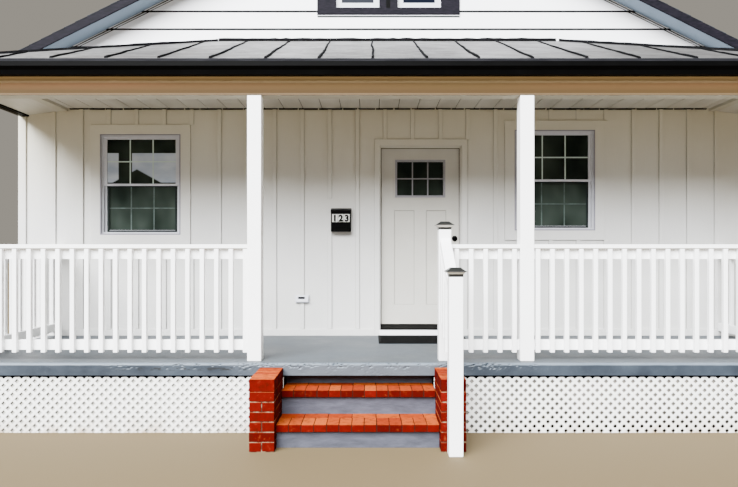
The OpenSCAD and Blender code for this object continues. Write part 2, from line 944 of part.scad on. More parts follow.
// Straight railing from x0 to x1: cap, two rails and balusters on the front face.
// The first baluster stands a gap from the start, which is x1 when from_right is true.
// The bottom rail starts at foot_x.
module railing(x0, x1, first, from_right, foot_x, foot_up) {
  y = rail_y;
  face = y - rail_t / 2;
  count = floor((x1 - x0 - first - baluster_w / 2) / baluster_step);
  block(x0, x1, y - cap_w / 2, y + cap_w / 2, rail_up - cap_t, rail_up);
  block(x0, x1, face, face + rail_t, top_rail_up, rail_up - cap_t + weld);
  block(foot_x, x1, face, face + rail_t, foot_up, foot_up + rail_h);
  for (i = [0 : count]) {
    x = from_right ? x1 - first - i * baluster_step : x0 + first + i * baluster_step;
    block(x - baluster_w / 2, x + baluster_w / 2, face - baluster_w, face + weld,
      foot_up - baluster_drop, rail_up - cap_t + weld);
  }
}

module porch_rail_front() {
  half_p = post_w / 2;
  bays = [
    [-corner_post_x + half_p, left_post_x - half_p, left_first],
    [newel_x + newel_w / 2, right_post_x - half_p, middle_first],
    [right_post_x + half_p, corner_post_x - half_p, right_first]
  ];
  color(white) place() for (b = bays)
    railing(b[0], b[1], b[2], b[0] < left_post_x, b[0], bottom_rail_up);
}

// Side railings, from the corner post back to the wall
module porch_rail_sides() {
  l = post_out - post_w;
  color(white) place() for (s = [0, 1]) mirror([s, 0, 0])
    translate([-corner_post_x, -l, 0]) rotate(-90) translate([-l, -rail_y, 0])
      railing(0, l, side_first, false, trim_t, side_rail_up);
}

module newel_posts() {
  color(white) place() {
    post(newel_x, newel_y, newel_w, 0, upper_newel_up);
    post(newel_x, lower_newel_y, newel_w, ground, lower_newel_up);
  }
}

// Block of square section whose width changes from w0 to w1 on the way up
module taper(w0, w1, z0, z1) {
  translate([0, 0, z0]) linear_extrude(z1 - z0, scale = w1 / w0) square(w0, center = true);
}

// Lamp cap: a collar, a band that flares out, a thin plate and a cut-off pyramid
module newel_cap() {
  h = newel_cap_h;
  w = newel_cap_w;
  collar = 0.32 * h;
  band = 0.53 * h;
  plate = 0.6 * h;
  taper(newel_w + 6, newel_w + 6, 0, collar);
  taper(newel_w + 12, w - 8, collar, band);
  taper(w, w, band, plate);
  taper(w - 6, newel_cap_top_w, plate, h);
}

module newel_caps() {
  color(black) place() {
    translate([newel_x, newel_y, upper_newel_up]) newel_cap();
    translate([newel_x, lower_newel_y, lower_newel_up]) newel_cap();
  }
}

// Sloping rail between the two newels
module stair_rail() {
  y0 = newel_y - newel_w / 2;
  y1 = lower_newel_y + newel_w / 2;
  fall = (stair_top_up - stair_foot_up) / (y0 - y1);
  run = y0 - y1;
  count = 3;
  gap = run / (count + 1);
  color(white) place() {
    along_x(newel_x - stair_cap_w / 2, newel_x + stair_cap_w / 2, [
      [y0, stair_top_up], [y1, stair_foot_up],
      [y1, stair_foot_up - cap_t], [y0, stair_top_up - cap_t]
    ]);
    for (drop = [cap_t, stair_panel_h - rail_h])
      along_x(newel_x - rail_t / 2, newel_x + rail_t / 2, [
        [y0, stair_top_up - drop + weld], [y1, stair_foot_up - drop + weld],
        [y1, stair_foot_up - drop - rail_h], [y0, stair_top_up - drop - rail_h]
      ]);
    for (i = [1 : count]) {
      y = y0 - i * gap;
      top = stair_top_up - fall * i * gap - cap_t - 20;
      block(newel_x - rail_t / 2 - baluster_w, newel_x - rail_t / 2 + weld,
        y - baluster_w / 2, y + baluster_w / 2, top - stair_panel_h + cap_t + 25, top);
    }
  }
}

// Porch roof

// Everything between the beams' underside and the underside of the hipped roof
module under_porch_roof() {
  edge = eave_up - porch_roof_t - fit_gap;
  top = porch_ridge_up - porch_roof_t - fit_gap;
  intersection() {
    along_x(-side_edge_x, side_edge_x, [
      [1, beam_up], [1, top + front_rise], [-roof_edge_out, edge], [-roof_edge_out, beam_up]
    ]);
    along_y(-roof_edge_out, 1, [
      [-side_edge_x, beam_up], [-side_edge_x, edge], [-porch_ridge_half_w, top],
      [porch_ridge_half_w, top], [side_edge_x, edge], [side_edge_x, beam_up]
    ]);
  }
}

module porch_beams() {
  back = post_out - post_w;
  end_x = side_fascia_x - fascia_t;
  color(tan) place() intersection() {
    under_porch_roof();
    union() {
      block(-end_x, end_x, -post_out, -back, beam_up, porch_ridge_up);
      for (s = [0, 1]) mirror([s, 0, 0])
        block(ceiling_half_w, soffit_inner_x, -back + joint, 0, ceiling_up - side_beam_drop,
          porch_ridge_up);
    }
  }
}

module porch_fascia() {
  foot = ceiling_up - fascia_drop;
  color(black) place() intersection() {
    under_porch_roof();
    union() {
      block(-side_fascia_x, side_fascia_x, -fascia_out, -post_out, foot, porch_ridge_up);
      for (s = [0, 1]) mirror([s, 0, 0])
        block(side_fascia_x - fascia_t, side_fascia_x, -post_out + joint, 0, foot,
          porch_ridge_up);
    }
  }
}

// Boarded ceiling, and the soffit that slopes down outside each side beam
module porch_ceiling() {
  back = post_out - post_w;
  outer_x = side_fascia_x - fascia_t;
  inner_up = ceiling_up - side_beam_drop;
  color("#b9b4a8") place() {
    block(-ceiling_half_w, ceiling_half_w, -back, 0, ceiling_up, ceiling_up + ceiling_t);
    for (s = [0, 1]) mirror([s, 0, 0]) along_y(-back, 0, [
      [soffit_inner_x, inner_up], [outer_x, inner_up - soffit_fall],
      [outer_x, inner_up - soffit_fall + ceiling_t], [soffit_inner_x, inner_up + ceiling_t]
    ]);
  }
}

// The front slope in plan, from the wall to the hips and the edge
module front_plan() {
  translate([0, 0, beam_up]) linear_extrude(2000) polygon([
    [-porch_ridge_half_w, 0], [porch_ridge_half_w, 0],
    [side_edge_x, -roof_edge_out], [-side_edge_x, -roof_edge_out]
  ]);
}

// A strip of the front slope: its underside lies at a height over the roof's top
module front_strip(x0, x1, low, high) {
  along_x(x0, x1, [
    [0, porch_ridge_up + low], [0, porch_ridge_up + high],
    [-roof_edge_out, eave_up + high], [-roof_edge_out, eave_up + low]
  ]);
}

module porch_roof_front() {
  count = floor((side_edge_x - seam_w) / seam_step);
  color(roof_grey) place() intersection() {
    front_plan();
    union() {
      front_strip(-side_edge_x, side_edge_x, -porch_roof_t, 0);
      for (k = [-count : count]) {
        x = seam_x + k * seam_step;
        front_strip(x - seam_w / 2, x + seam_w / 2, -1, seam_h);
      }
    }
  }
}

// The two side slopes, each a triangle in plan
module porch_roof_sides() {
  color(roof_grey) place() for (s = [0, 1]) mirror([s, 0, 0]) intersection() {
    translate([0, 0, beam_up]) linear_extrude(2000) polygon([
      [porch_ridge_half_w + joint, 0], [side_edge_x, 0], [side_edge_x, -roof_edge_out + joint]
    ]);
    union() {
      along_y(-roof_edge_out, 0, [
        [porch_ridge_half_w, porch_ridge_up - porch_roof_t], [porch_ridge_half_w, porch_ridge_up],
        [side_edge_x, eave_up], [side_edge_x, eave_up - porch_roof_t]
      ]);
      for (y = [-seam_step / 2 : -seam_step : -roof_edge_out + seam_w])
        along_y(y - seam_w / 2, y + seam_w / 2, [
          [porch_ridge_half_w, porch_ridge_up - 1], [porch_ridge_half_w, porch_ridge_up + seam_h],
          [side_edge_x, eave_up + seam_h], [side_edge_x, eave_up - 1]
        ]);
    }
  }
}

// Outline of a gutter: its back at 0, a stepped front and a rolled lip
function gutter_outline(w, h) = [
  [0, 0], [0, -h], [0.62 * w, -h], [0.74 * w, -0.66 * h], [w, -0.42 * h], [w, 0]
];

// Gutter of a given length along X, its back on the X axis, open above, with closed ends
module gutter(l) {
  t = gutter_t;
  w = gutter_w;
  bead = 8;
  translate([-l / 2, 0, gutter_top_up]) rotate([90, 0, 90]) mirror([1, 0, 0]) {
    difference() {
      linear_extrude(l) polygon(gutter_outline(w, gutter_h));
      translate([t, t, t]) linear_extrude(l - 2 * t)
        polygon(concat(gutter_outline(w - 2 * t, gutter_h), [[w - 2 * t, t], [0, t]]));
    }
    translate([w - bead, -bead, 0]) cube([bead, bead, l]);
  }
}

module porch_gutters() {
  side_l = fascia_out - trim_t - 2 * joint;
  color(black) place() {
    translate([0, -fascia_out, 0]) gutter(2 * side_gutter_x);
    for (s = [0, 1]) mirror([s, 0, 0])
      translate([side_fascia_x, -fascia_out / 2 - trim_t / 2, 0]) rotate(90) gutter(side_l);
  }
}

// Wall fittings

module at_mailbox() translate([mailbox_x, 0, mailbox_up]) children();

// Open box whose rim falls towards the front
module mailbox() {
  x = mailbox_w / 2 - mailbox_t - lid_gap;
  t = mailbox_t;
  d = mailbox_d - t - lid_gap;
  rim = mailbox_h - lid_top;
  color(black) place() at_mailbox() difference() {
    along_x(-x, x, [[0, 0], [0, rim], [-d, rim - mailbox_slope], [-d, 0]]);
    block(-x + t, x - t, -d + t, -t, t, mailbox_h);
  }
}

// Lid: a sloping top with a lip in front and at the sides, hinged at the wall
module mailbox_lid() {
  x = mailbox_w / 2;
  t = mailbox_t;
  d = mailbox_d;
  rim = mailbox_h - lid_top + lid_gap;
  low = rim - mailbox_slope;
  color(black) place() at_mailbox() {
    difference() {
      along_x(-x, x, [[-6, rim - 1], [-6, rim + t], [-d, low + t], [-d, mailbox_h - lid_lip - 6],
        [-d + t, mailbox_h - lid_lip - 6], [-8, mailbox_h - lid_lip + 26]]);
      along_x(-x + t, x - t, [[0, -1], [0, rim], [-d + t, low], [-d + t, -1]]);
    }
    translate([-x, -lid_hinge_r - fit_gap, rim + lid_hinge_r - 0.2]) rotate([0, 90, 0])
      cylinder(r = lid_hinge_r, h = mailbox_w);
  }
}

module outlet_cover() {
  w = outlet_w / 2;
  h = outlet_h / 2;
  slot_up = 2;
  slot_h = 22;
  color(white) place() translate([outlet_x, 0, outlet_up]) difference() {
    union() {
      block(-w, w, -trim_t, 0, -h, h);
      along_x(-w + 10, w - 10, [
        [-trim_t + 1, h - 8], [-outlet_d * 0.7, h - 14], [-outlet_d, -h + 20],
        [-outlet_d, -h + 8], [-trim_t + 1, -h + 8]
      ]);
    }
    block(-w + 33, w - 48, -outlet_d - 1, -0.6 * outlet_d, slot_up, slot_up + slot_h);
  }
}

module doormat() {
  color(black) place()
    block(door_x - mat_l / 2, door_x + mat_l / 2, -trim_t - 25 - mat_w, -trim_t - 25, 0, mat_t);
}

foundation();
house_floor();
attic_floor();
front_wall_left();
front_wall_right();
front_wall_over_door();
left_wall();
right_wall();
back_wall();
front_gable();
back_gable();
roof_left();
roof_right();
ridge_cap();
front_rake_boards();
back_rake_boards();
eave_boards();
soffit_boards();
corner_boards();
base_boards();
window_trim();
porch_floor();
block_piers();
lattice_left();
lattice_right();
lattice_sides();
step_core();
step_treads();
step_piers();
porch_posts();
porch_rail_front();
porch_rail_sides();
stair_rail();
newel_posts();
newel_caps();
porch_beams();
porch_fascia();
porch_ceiling();
porch_roof_front();
porch_roof_sides();
porch_gutters();
door_frame();
door_sill();
threshold();
door();
door_glass();
door_lock();
window_frames();
window_glass();
gable_window_trim();
mailbox();
mailbox_lid();
outlet_cover();
doormat();
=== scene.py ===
import math
import random
import bmesh
import bpy
from mathutils import Matrix, Vector, noise


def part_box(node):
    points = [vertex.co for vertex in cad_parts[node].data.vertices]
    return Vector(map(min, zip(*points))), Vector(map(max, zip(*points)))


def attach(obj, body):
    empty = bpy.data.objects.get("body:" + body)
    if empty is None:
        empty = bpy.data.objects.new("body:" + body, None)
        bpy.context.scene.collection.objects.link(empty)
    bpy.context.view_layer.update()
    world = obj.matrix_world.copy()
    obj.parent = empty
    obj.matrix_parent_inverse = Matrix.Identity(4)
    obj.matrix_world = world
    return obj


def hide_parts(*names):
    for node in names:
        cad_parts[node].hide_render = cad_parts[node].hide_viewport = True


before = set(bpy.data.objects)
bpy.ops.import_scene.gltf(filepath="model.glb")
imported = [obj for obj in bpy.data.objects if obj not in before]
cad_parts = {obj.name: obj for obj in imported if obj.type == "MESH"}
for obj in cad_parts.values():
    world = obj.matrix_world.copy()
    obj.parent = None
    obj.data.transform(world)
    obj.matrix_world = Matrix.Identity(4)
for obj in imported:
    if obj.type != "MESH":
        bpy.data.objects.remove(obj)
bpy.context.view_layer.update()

# A small gabled house with a raised front porch. Pieces are drawn in millimetres from the
# middle of the front wall's face, at the height of the porch floor, as the model's source is.

houseBody = "house"
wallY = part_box("front_wall_left")[0][1]
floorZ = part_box("porch_floor")[1][2]


def at(x, y, z):
    return Vector((x / 1000, wallY + y / 1000, floorZ + z / 1000))


def span(node):
    # A node's box, turned back to the porch's millimetres
    low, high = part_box(node)
    return [(1000 * (a - zero), 1000 * (b - zero)) for a, b, zero in zip(low, high, (0, wallY, floorZ))]


ground = -1000 * floorZ
houseHalf = -span("left_wall")[0][0]
houseLength = span("back_wall")[1][1]
wallFoot, wallTopUp = span("front_wall_left")[2]


# Mesh helpers


def newMesh():
    return bmesh.new()


def addBlock(bm, x0, x1, y0, y1, z0, z1):
    made = bmesh.ops.create_cube(bm, size=1.0)["verts"]
    size = Vector((abs(x1 - x0), abs(y1 - y0), abs(z1 - z0))) / 1000
    bmesh.ops.scale(bm, vec=size, verts=made)
    bmesh.ops.translate(bm, vec=at((x0 + x1) / 2, (y0 + y1) / 2, (z0 + z1) / 2), verts=made)
    return made


def turnBlock(bm, made, pivot, axis, degrees):
    turn = Matrix.Rotation(math.radians(degrees), 3, axis)
    bmesh.ops.rotate(bm, cent=pivot, matrix=turn, verts=made)


def bevelEdges(bm, edges, width, steps):
    bmesh.ops.bevel(bm, geom=edges, offset=width / 1000, offset_type="OFFSET",
                    affect="EDGES", segments=steps, profile=0.5, material=-1)


def bevelAll(bm, width, steps=1):
    bevelEdges(bm, bm.edges[:], width, steps)


def bevelSharp(bm, width, steps=1, angle=25):
    limit = math.radians(angle)
    edges = [e for e in bm.edges if len(e.link_faces) == 2 and e.calc_face_angle(0.0) > limit]
    bevelEdges(bm, edges, width, steps)


def addPrism(bm, outline, start, end):
    # An outline of points in place, extruded from start to end, two offsets in millimetres
    base = [bm.verts.new(Vector(p) + Vector(start) / 1000) for p in outline]
    face = bm.faces.new(base)
    grown = bmesh.ops.extrude_face_region(bm, geom=[face])["geom"]
    verts = [g for g in grown if isinstance(g, bmesh.types.BMVert)]
    bmesh.ops.translate(bm, vec=(Vector(end) - Vector(start)) / 1000, verts=verts)
    faces = {f for v in base + verts for f in v.link_faces}
    bmesh.ops.recalc_face_normals(bm, faces=list(faces))
    return base + verts


def prismAlongX(bm, x0, x1, outline):
    return addPrism(bm, [at(0, y, z) for y, z in outline], (x0, 0, 0), (x1, 0, 0))


def prismAlongY(bm, y0, y1, outline):
    return addPrism(bm, [at(x, 0, z) for x, z in outline], (0, y0, 0), (0, y1, 0))


def addRing(bm, x0, x1, z0, z1, width, y0, y1):
    # A flat frame of four blocks round a rectangle
    addBlock(bm, x0 - width, x0, y0, y1, z0 - width, z1 + width)
    addBlock(bm, x1, x1 + width, y0, y1, z0 - width, z1 + width)
    addBlock(bm, x0, x1, y0, y1, z0 - width, z0)
    addBlock(bm, x0, x1, y0, y1, z1, z1 + width)


def clipTo(bm, point, normal):
    # Cuts away what lies on the side that the normal points to, and closes the cut
    cut = bmesh.ops.bisect_plane(bm, geom=bm.verts[:] + bm.edges[:] + bm.faces[:], dist=1e-6,
                                 plane_co=point, plane_no=normal, clear_outer=True)["geom_cut"]
    edges = [g for g in cut if isinstance(g, bmesh.types.BMEdge) and g.is_boundary]
    bmesh.ops.holes_fill(bm, edges=edges, sides=0)


def addObject(name, data):
    # An object for a mesh, a curve, a lamp or a camera
    thing = bpy.data.objects.new(name, data)
    bpy.context.scene.collection.objects.link(thing)
    return thing


def finishPiece(bm, name, finish, body=houseBody, nodes=()):
    # Makes a piece of the mesh, with one of the paints below, that rides on a body
    mesh = bpy.data.meshes.new(name)
    bm.to_mesh(mesh)
    bm.free()
    piece = addObject(name, mesh)
    mesh.materials.append(paint[finish])
    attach(piece, body)
    if nodes:
        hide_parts(*nodes)
    return piece


def softNode(node, name, width, finish, body=houseBody, steps=2):
    # A merged copy of a CAD node's mesh, with its flat faces joined up and its sharp edges rounded
    bm = newMesh()
    bm.from_mesh(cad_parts[node].data)
    bmesh.ops.remove_doubles(bm, verts=bm.verts[:], dist=0.00002)
    bmesh.ops.dissolve_limit(bm, angle_limit=math.radians(0.5), verts=bm.verts[:], edges=bm.edges[:])
    bevelSharp(bm, width, steps)
    finishPiece(bm, name, finish, body, (node,))


def setFinish(finish, *nodes):
    # Gives CAD nodes that keep their mesh one of the paints below
    for node in nodes:
        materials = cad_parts[node].data.materials
        materials.clear()
        materials.append(paint[finish])


# Material helpers

nodeKinds = {
    # a short name: the node, its usual settings, its sockets in the order used here, its output
    "place": ("ShaderNodeTexCoord", {}, (), "Object"),
    "normal": ("ShaderNodeNewGeometry", {}, (), "True Normal"),
    "attribute": ("ShaderNodeAttribute", {}, ("attribute_name",), "Fac"),
    "stretch": ("ShaderNodeMapping", {}, ("Vector", "Scale"), "Vector"),
    "axis": ("ShaderNodeSeparateXYZ", {}, ("Vector",), "Z"),
    "noise": ("ShaderNodeTexNoise", {"Detail": 4, "Roughness": 0.55},
              ("Vector", "Scale", "Detail", "Roughness"), "Fac"),
    "range": ("ShaderNodeMapRange", {}, ("Value", "From Min", "From Max", "To Min", "To Max"), "Result"),
    "mix": ("ShaderNodeMix", {"data_type": "RGBA"}, ("Factor", 6, 7), 2),
    "math": ("ShaderNodeMath", {}, ("operation", 0, 1, 2), 0),
    "bump": ("ShaderNodeBump", {}, ("Height", "Distance", "Strength", "Normal"), "Normal"),
}


def linear(code):
    values = []
    for k in (1, 3, 5):
        c = int(code[k:k + 2], 16) / 255
        values.append(c / 12.92 if c <= 0.04045 else ((c + 0.055) / 1.055) ** 2.4)
    return (*values, 1.0)


def addNode(tree, kind, *values, out=None):
    # Adds a node, and sets or links its sockets: numbers, hex colours, words or other nodes' sockets
    name, usual, sockets, output = nodeKinds[kind]
    node = tree.nodes.new(name)
    for key, value in [*usual.items(), *zip(sockets, values)]:
        if isinstance(value, bpy.types.NodeSocket):
            tree.links.new(value, node.inputs[key])
        elif isinstance(key, str) and hasattr(node, key):
            setattr(node, key, value)
        else:
            node.inputs[key].default_value = linear(value) if isinstance(value, str) else value
    return node.outputs[output if out is None else out]


def newMaterial(name, colour, roughness, gloss=0.5, metallic=0.0):
    # Returns the material, a way to add nodes to it, and a way to link one to its shader
    material = bpy.data.materials.new(name)
    material.use_nodes = True
    tree = material.node_tree
    shader = tree.nodes["Principled BSDF"]
    for key, value in (("Base Color", linear(colour)), ("Roughness", roughness), ("Metallic", metallic),
                       ("Specular IOR Level", gloss)):
        shader.inputs[key].default_value = value

    def add(kind, *values, out=None):
        return addNode(tree, kind, *values, out=out)

    def link(socket, source):
        tree.links.new(source, shader.inputs[socket])

    return material, add, link


def mm(size):
    return size / 1000


def grain(size):
    # The noise scale whose main feature is so many millimetres across
    return 1000 / size


# Materials

whole = (1, 1, 1)
evenFinishes = {
    # key: name, flat, first and second colour, roughness, gloss, bump in mm, and of the cloud its
    # grain in mm, and if need be its detail, the part of it that shows and its stretch
    # paint on smooth lapped boards, with a faint run of grain along them
    "lap": ("SatinPaintOnBoards", "#f1f1f3", "#f4f4f7", "#dcdce0", 0.5, 0.5, 0.5, 9, 4,
            (0.35, 0.75, 0, 0.15), (0.06, 1, 1)),
    # white vinyl, drawn in a faint lavender grey and softly shiny
    "vinyl": ("ExtrudedWhiteVinyl", "#b9bac1", "#bfc0c8", "#a8a9b1", 0.35, 0.35, 0.1, 120, 2,
              (0.4, 0.8, 0, 0.5)),
    # thin bars behind the outer pane, greened and dulled by the glass over them
    "grille": ("GreenedGrilleBars", "#57615c", "#4f5d59", "#3a4440", 0.4, 0.15, 0, 90, 2, (0.35, 0.65)),
    "grilleUpper": ("PaleGrilleBars", "#c3d2cb", "#c3d2cb", "#afc0b8", 0.4, 0.2, 0.1, 90),
    # thin dark joints between the tread bricks
    "oldMortar": ("DirtyMortar", "#24150f", "#150a06", "#2f1d14", 1, 0.02, 1, 12),
    # the folded metal over the gutter: a near-black slate grey, dusty in patches
    "lip": ("DustyMetalEdge", "#161619", "#131316", "#1d1d20", 0.7, 0.03, 0, 60, 3, (0.35, 0.65),
            (0.3, 1, 1)),
    # black sealing compound brushed lumpily over the standing seams
    "tar": ("BrushedSeamSealer", "#070708", "#060607", "#151618", 0.8, 0.03, 3, 35, 4, (0.45, 0.8)),
    # dark slate paint on the rake boards and the gable window's surround
    "slate": ("DarkSlatePaint", "#15151b", "#0a0a0f", "#17141b", 0.6, 0.04, 0.6, 12, 4,
              (0.35, 0.7), (0.2, 1, 1)),
    # pale grey-blue boards in the shade of the eaves
    "soffit": ("SoffitPaint", "#7d8893", "#7c8c9c", "#8999a9", 0.6, 0.1, 0.4, 300),
    # beige-white ceiling boards with a fine sheen, their colour partly darkened and warmed as painted shade
    # under the porch roof
    "ceiling": ("CeilingVinyl", "#afac9b", "#bdb9ae", "#a6a297", 0.5, 0.2, 0.3, 240, 3,
                (0.35, 0.7), (1, 0.2, 1)),
    # ribbed black rubber with pale dust in it
    "rubber": ("RibbedRubber", "#060606", "#050505", "#22211f", 0.85, 0.03, 0.6, 30, 4,
               (0.6, 0.85, 0, 0.3)),
    # oak floor and painted wallboard indoors
    "oak": ("SandedOakBoards", "#a98357", "#94703f", "#c19c6a", 0.45, 0.5, 0.5, 12, 5,
            None, (1, 0.05, 1)),
    "plaster": ("FlatWallboardPaint", "#cfccc4", "#d2cfc8", "#c7c4bc", 0.8, 0.5, 0.3, 6),
    # small fittings, and the thin lines of shade and dirt between boards
    "plate": ("PrintedWhitePlate", "#d2d2cf", "#d2d2cf", "#c4c4be", 0.4, 0.3, 0.05, 20),
    "ink": ("PrintedBlackInk", "#030303", "#030303", "#080808", 0.6, 0.02, 0.02, 10),
    "strip": ("PaleTanPaint", "#524430", "#524430", "#4b3c2b", 0.6, 0.1, 0.2, 90),
    # painted shadow: dark copies of the lattice strips, seen at the top of each hole
    "shade": ("PaintedStripShadows", "#2d2b28", "#2d2b28", "#1f1d1b", 0.9, 0.03, 0.1, 60),
    # painted shadow under the lap boards, under the gable sill and along the rakes
    "gap": ("PaintedShadowLines", "#1c1c1e", "#1c1c1e", "#131314", 0.9, 0.05, 0.1, 60),
    # painted shadow lines in the joints beside the battens and round the trim and the door's panels
    "joint": ("ShadedCaulk", "#908e87", "#908e87", "#7e7d77", 0.8, 0.1, 0.1, 60),
    "screen": ("DarkScreenFrame", "#1f2624", "#1f2624", "#151a19", 0.6, 0.1, 0.1, 40),
    # painted shadow under the front rail's cap
    "capLine": ("ShadedCapEdge", "#77746a", "#77746a", "#65625a", 0.7, 0.05, 0.1, 60),
    "outline": ("LavenderJointLine", "#85828e", "#85828e", "#74717d", 0.7, 0.05, 0.1, 60),
    "bead": ("LavenderGreyBead", "#8d8c92", "#8d8c92", "#807f85", 0.5, 0.15, 0.1, 60),
    "cap": ("PowderCoatedCap", "#101110", "#101110", "#191a19", 0.35, 0.35, 0.2, 20),
    "groove": ("ShadedVinylGroove", "#535247", "#535247", "#424037", 0.7, 0.1, 0.1, 60),
    "weatherstrip": ("BrownWeatherstrip", "#231a13", "#231a13", "#2e241b", 0.7, 0.1, 0.1, 15),
    "lens": ("FrostedLampLens", "#d9d6cc", "#d9d6cc", "#c2beb2", 0.25, 0.3, 0.1, 12),
}


def makeEven(name, flat, first, second, roughness, gloss, bump, size,
             detail=3, part=None, stretch=whole):
    material, add, link = newMaterial(name, flat, roughness, gloss)
    cloud = add("noise", add("stretch", add("place"), stretch), grain(size), detail)
    link("Base Color", add("mix", add("range", cloud, *part) if part else cloud, first, second))
    if bump:
        link("Normal", add("bump", cloud, mm(bump)))
    return material


def between(add, source, rise, fall):
    # 1 from the end of one range to the start of another, and 0 outside both
    return add("math", "MULTIPLY", add("range", source, *rise), add("range", source, *fall, 1, 0))


def makeSidingPaint():
    # Satin acrylic paint brushed on wood-grained siding sheets: a matt white with upright grain; on the
    # front wall a painted warm shade tints it tan towards the porch ceiling
    material, add, link = newMaterial("SatinPaintOnSiding", "#d3d2cf", 0.6, 0.3)
    place = add("place")
    brush = add("noise", add("stretch", place, (1, 1, 0.05)), grain(7), 5)
    cloud = add("noise", add("stretch", place, whole), grain(900), 3)
    shade = add("mix", add("range", cloud, 0.3, 0.7), "#cbcac7", "#c2c1bf")
    brushed = add("mix", add("range", brush, 0.35, 0.75, 0, 0.2), shade, "#b2b1af")
    # painted warm shade: the front wall turns tan towards the porch ceiling
    high = add("range", add("axis", place), 1.95, 3.2, 0, 0.6)
    front = add("range", add("axis", place, out="Y"), -3.6, -3.5, 1, 0)
    link("Base Color", add("mix", add("math", "MULTIPLY", high, front), brushed, "#c2b996"))
    link("Normal", add("bump", brush, mm(0.8)))
    return material


def makeTrimPaint():
    # Semi-gloss white paint on planed boards: brighter than the siding, with soft brush marks
    material, add, link = newMaterial("SemiGlossTrimPaint", "#f5f5f5", 0.42)
    brush = add("noise", add("stretch", add("place"), (1, 1, 0.12)), grain(5), 3)
    patch = add("noise", add("stretch", add("place"), whole), grain(260), 3)
    link("Base Color", add("mix", add("range", patch, 0.45, 0.8, 0, 0.35), "#f7f7f7", "#e9eaea"))
    link("Roughness", add("range", patch, 0.2, 0.8, 0.3, 0.48))
    link("Normal", add("bump", brush, mm(0.25)))
    return material


def makeWindowGlass():
    # Float glass over a dark room. The left end's upper sashes carry a painted reflection of the pale sky
    # of the street, cut off by reflections of the porch roof above it, of a gable below and of a post
    material, add, link = newMaterial("DarkFloatGlass", "#1d2828", 0.06, 0.03)
    place = add("place")
    across, deep, up = (add("axis", place, out=axis) for axis in "XYZ")
    tone = add("range", add("noise", add("stretch", place, (1, 1, 0.7)), grain(420), 2), 0.38, 0.66)
    above = add("mix", tone, "#121815", "#2b322c")
    below = add("mix", tone, "#1a211d", "#39423c")
    door = add("math", "COMPARE", across, 0.369, 0.3)
    upper = add("math", "MAXIMUM", add("range", up, 2.33, 2.35), door)
    room = add("mix", upper, below, above)
    attic = add("mix", add("range", up, 4.0, 4.05), room, "#0c0f18")
    aside = add("math", "ABSOLUTE", add("math", "ADD", across, 2.885))
    gable = add("math", "MULTIPLY_ADD", aside, 0.55, up)
    # painted reflection: the street sky over a reflected gable, on the left end's upper sashes, under the
    # reflected porch roof
    sky = add("range", gable, 2.505, 2.52)
    for socket, low, high, first, last in ((up, 2.694, 2.699, 1, 0), (up, 2.355, 2.365, 0, 1),
                                           (across, -2.35, -2.34, 1, 0), (deep, -3.65, -3.6, 1, 0)):
        sky = add("math", "MULTIPLY", sky, add("range", socket, low, high, first, last))
    # painted reflection of a post, which breaks the sky
    post = between(add, across, (-3.1, -3.09), (-2.945, -2.935))
    sky = add("math", "MULTIPLY", sky, add("range", post, 0, 1, 1, 0))
    clouds = add("noise", add("stretch", place, (1, 1, 2)), grain(300), 3)
    pale = add("mix", add("range", clouds, 0.35, 0.65), "#a0abbf", "#b9c2cd")
    link("Base Color", add("mix", sky, attic, pale))
    wave = add("noise", add("stretch", place, whole), grain(700), 1)
    link("Normal", add("bump", wave, mm(3)))
    return material


def makeDoorPaint():
    # Sprayed warm white enamel on a moulded door
    material, add, link = newMaterial("WarmDoorEnamel", "#bbb9b1", 0.42, 0.3)
    point = add("stretch", add("place"), whole)
    link("Base Color", add("mix", add("noise", point, grain(300), 2), "#bbb9b1", "#afaba3"))
    link("Normal", add("bump", add("noise", point, grain(4), 2), mm(0.08)))
    return material


def makeDeckPaint():
    # Thick blue-grey floor paint on old concrete: mottled and lumpy, with a painted highlight on the
    # rounded nosing and painted shade darkening the front face, flaked to dark concrete where it is chipped
    material, add, link = newMaterial("WornFloorPaint", "#59636f", 0.55, 0.3)
    place = add("place")
    point = add("stretch", place, whole)
    across, high = add("axis", place, out="X"), add("axis", place)
    patch = add("noise", point, grain(420), 5, 0.6)
    grit = add("noise", point, grain(14), 4, 0.6)
    flat = add("mix", add("range", patch, 0.32, 0.68), "#2d3338", "#3e4449")
    nose = add("mix", add("range", patch, 0.3, 0.7), "#444f5a", "#596169")
    front = add("mix", add("range", patch, 0.35, 0.6), "#1c222a", "#2a323b")
    upward = add("axis", add("normal"))
    # painted highlight: the tilted faces of the rounded nosing are paler than the flat top
    upper = add("mix", add("range", upward, 0.93, 0.999), nose, flat)
    trodden = between(add, across, (-1.5, -0.8), (0.3, 0.7))
    face = add("mix", trodden, front, "#44484e")
    # painted shade: the upright front face is darker than the top
    base = add("mix", add("range", upward, 0.06, 0.32), face, upper)
    worn = add("math", "MULTIPLY", add("range", grit, 0.6, 0.72, 0, 0.35),
               add("range", upward, 0, 0.2, 0.2, 1))
    flaked = add("mix", worn, base, "#6f767d")
    # cracks in the coat along the foot of the nosing, left of the steps
    vein = add("noise", add("stretch", place, (0.4, 1, 1)), grain(34), 5, 0.7)
    along = between(add, across, (-2.5, -2.2), (-1.3, -1.2))
    band = between(add, high, (0.543, 0.548), (0.567, 0.573))
    cracks = add("math", "MULTIPLY", add("range", vein, 0.47, 0.5, 1, 0),
                 add("math", "MULTIPLY", along, band))
    cracked = add("mix", cracks, flaked, "#14171a")
    chips = add("range", add("noise", point, grain(15), 4, 0.65), 0.5, 0.54)
    bare = add("math", "MULTIPLY", add("attribute", "chipped"), chips)
    link("Base Color", add("mix", bare, cracked, "#1d1f20"))
    link("Roughness", add("range", patch, 0.3, 0.7, 0.42, 0.65))
    link("Normal", add("bump", grit, mm(1), 0.9, add("bump", patch, mm(2))))
    return material


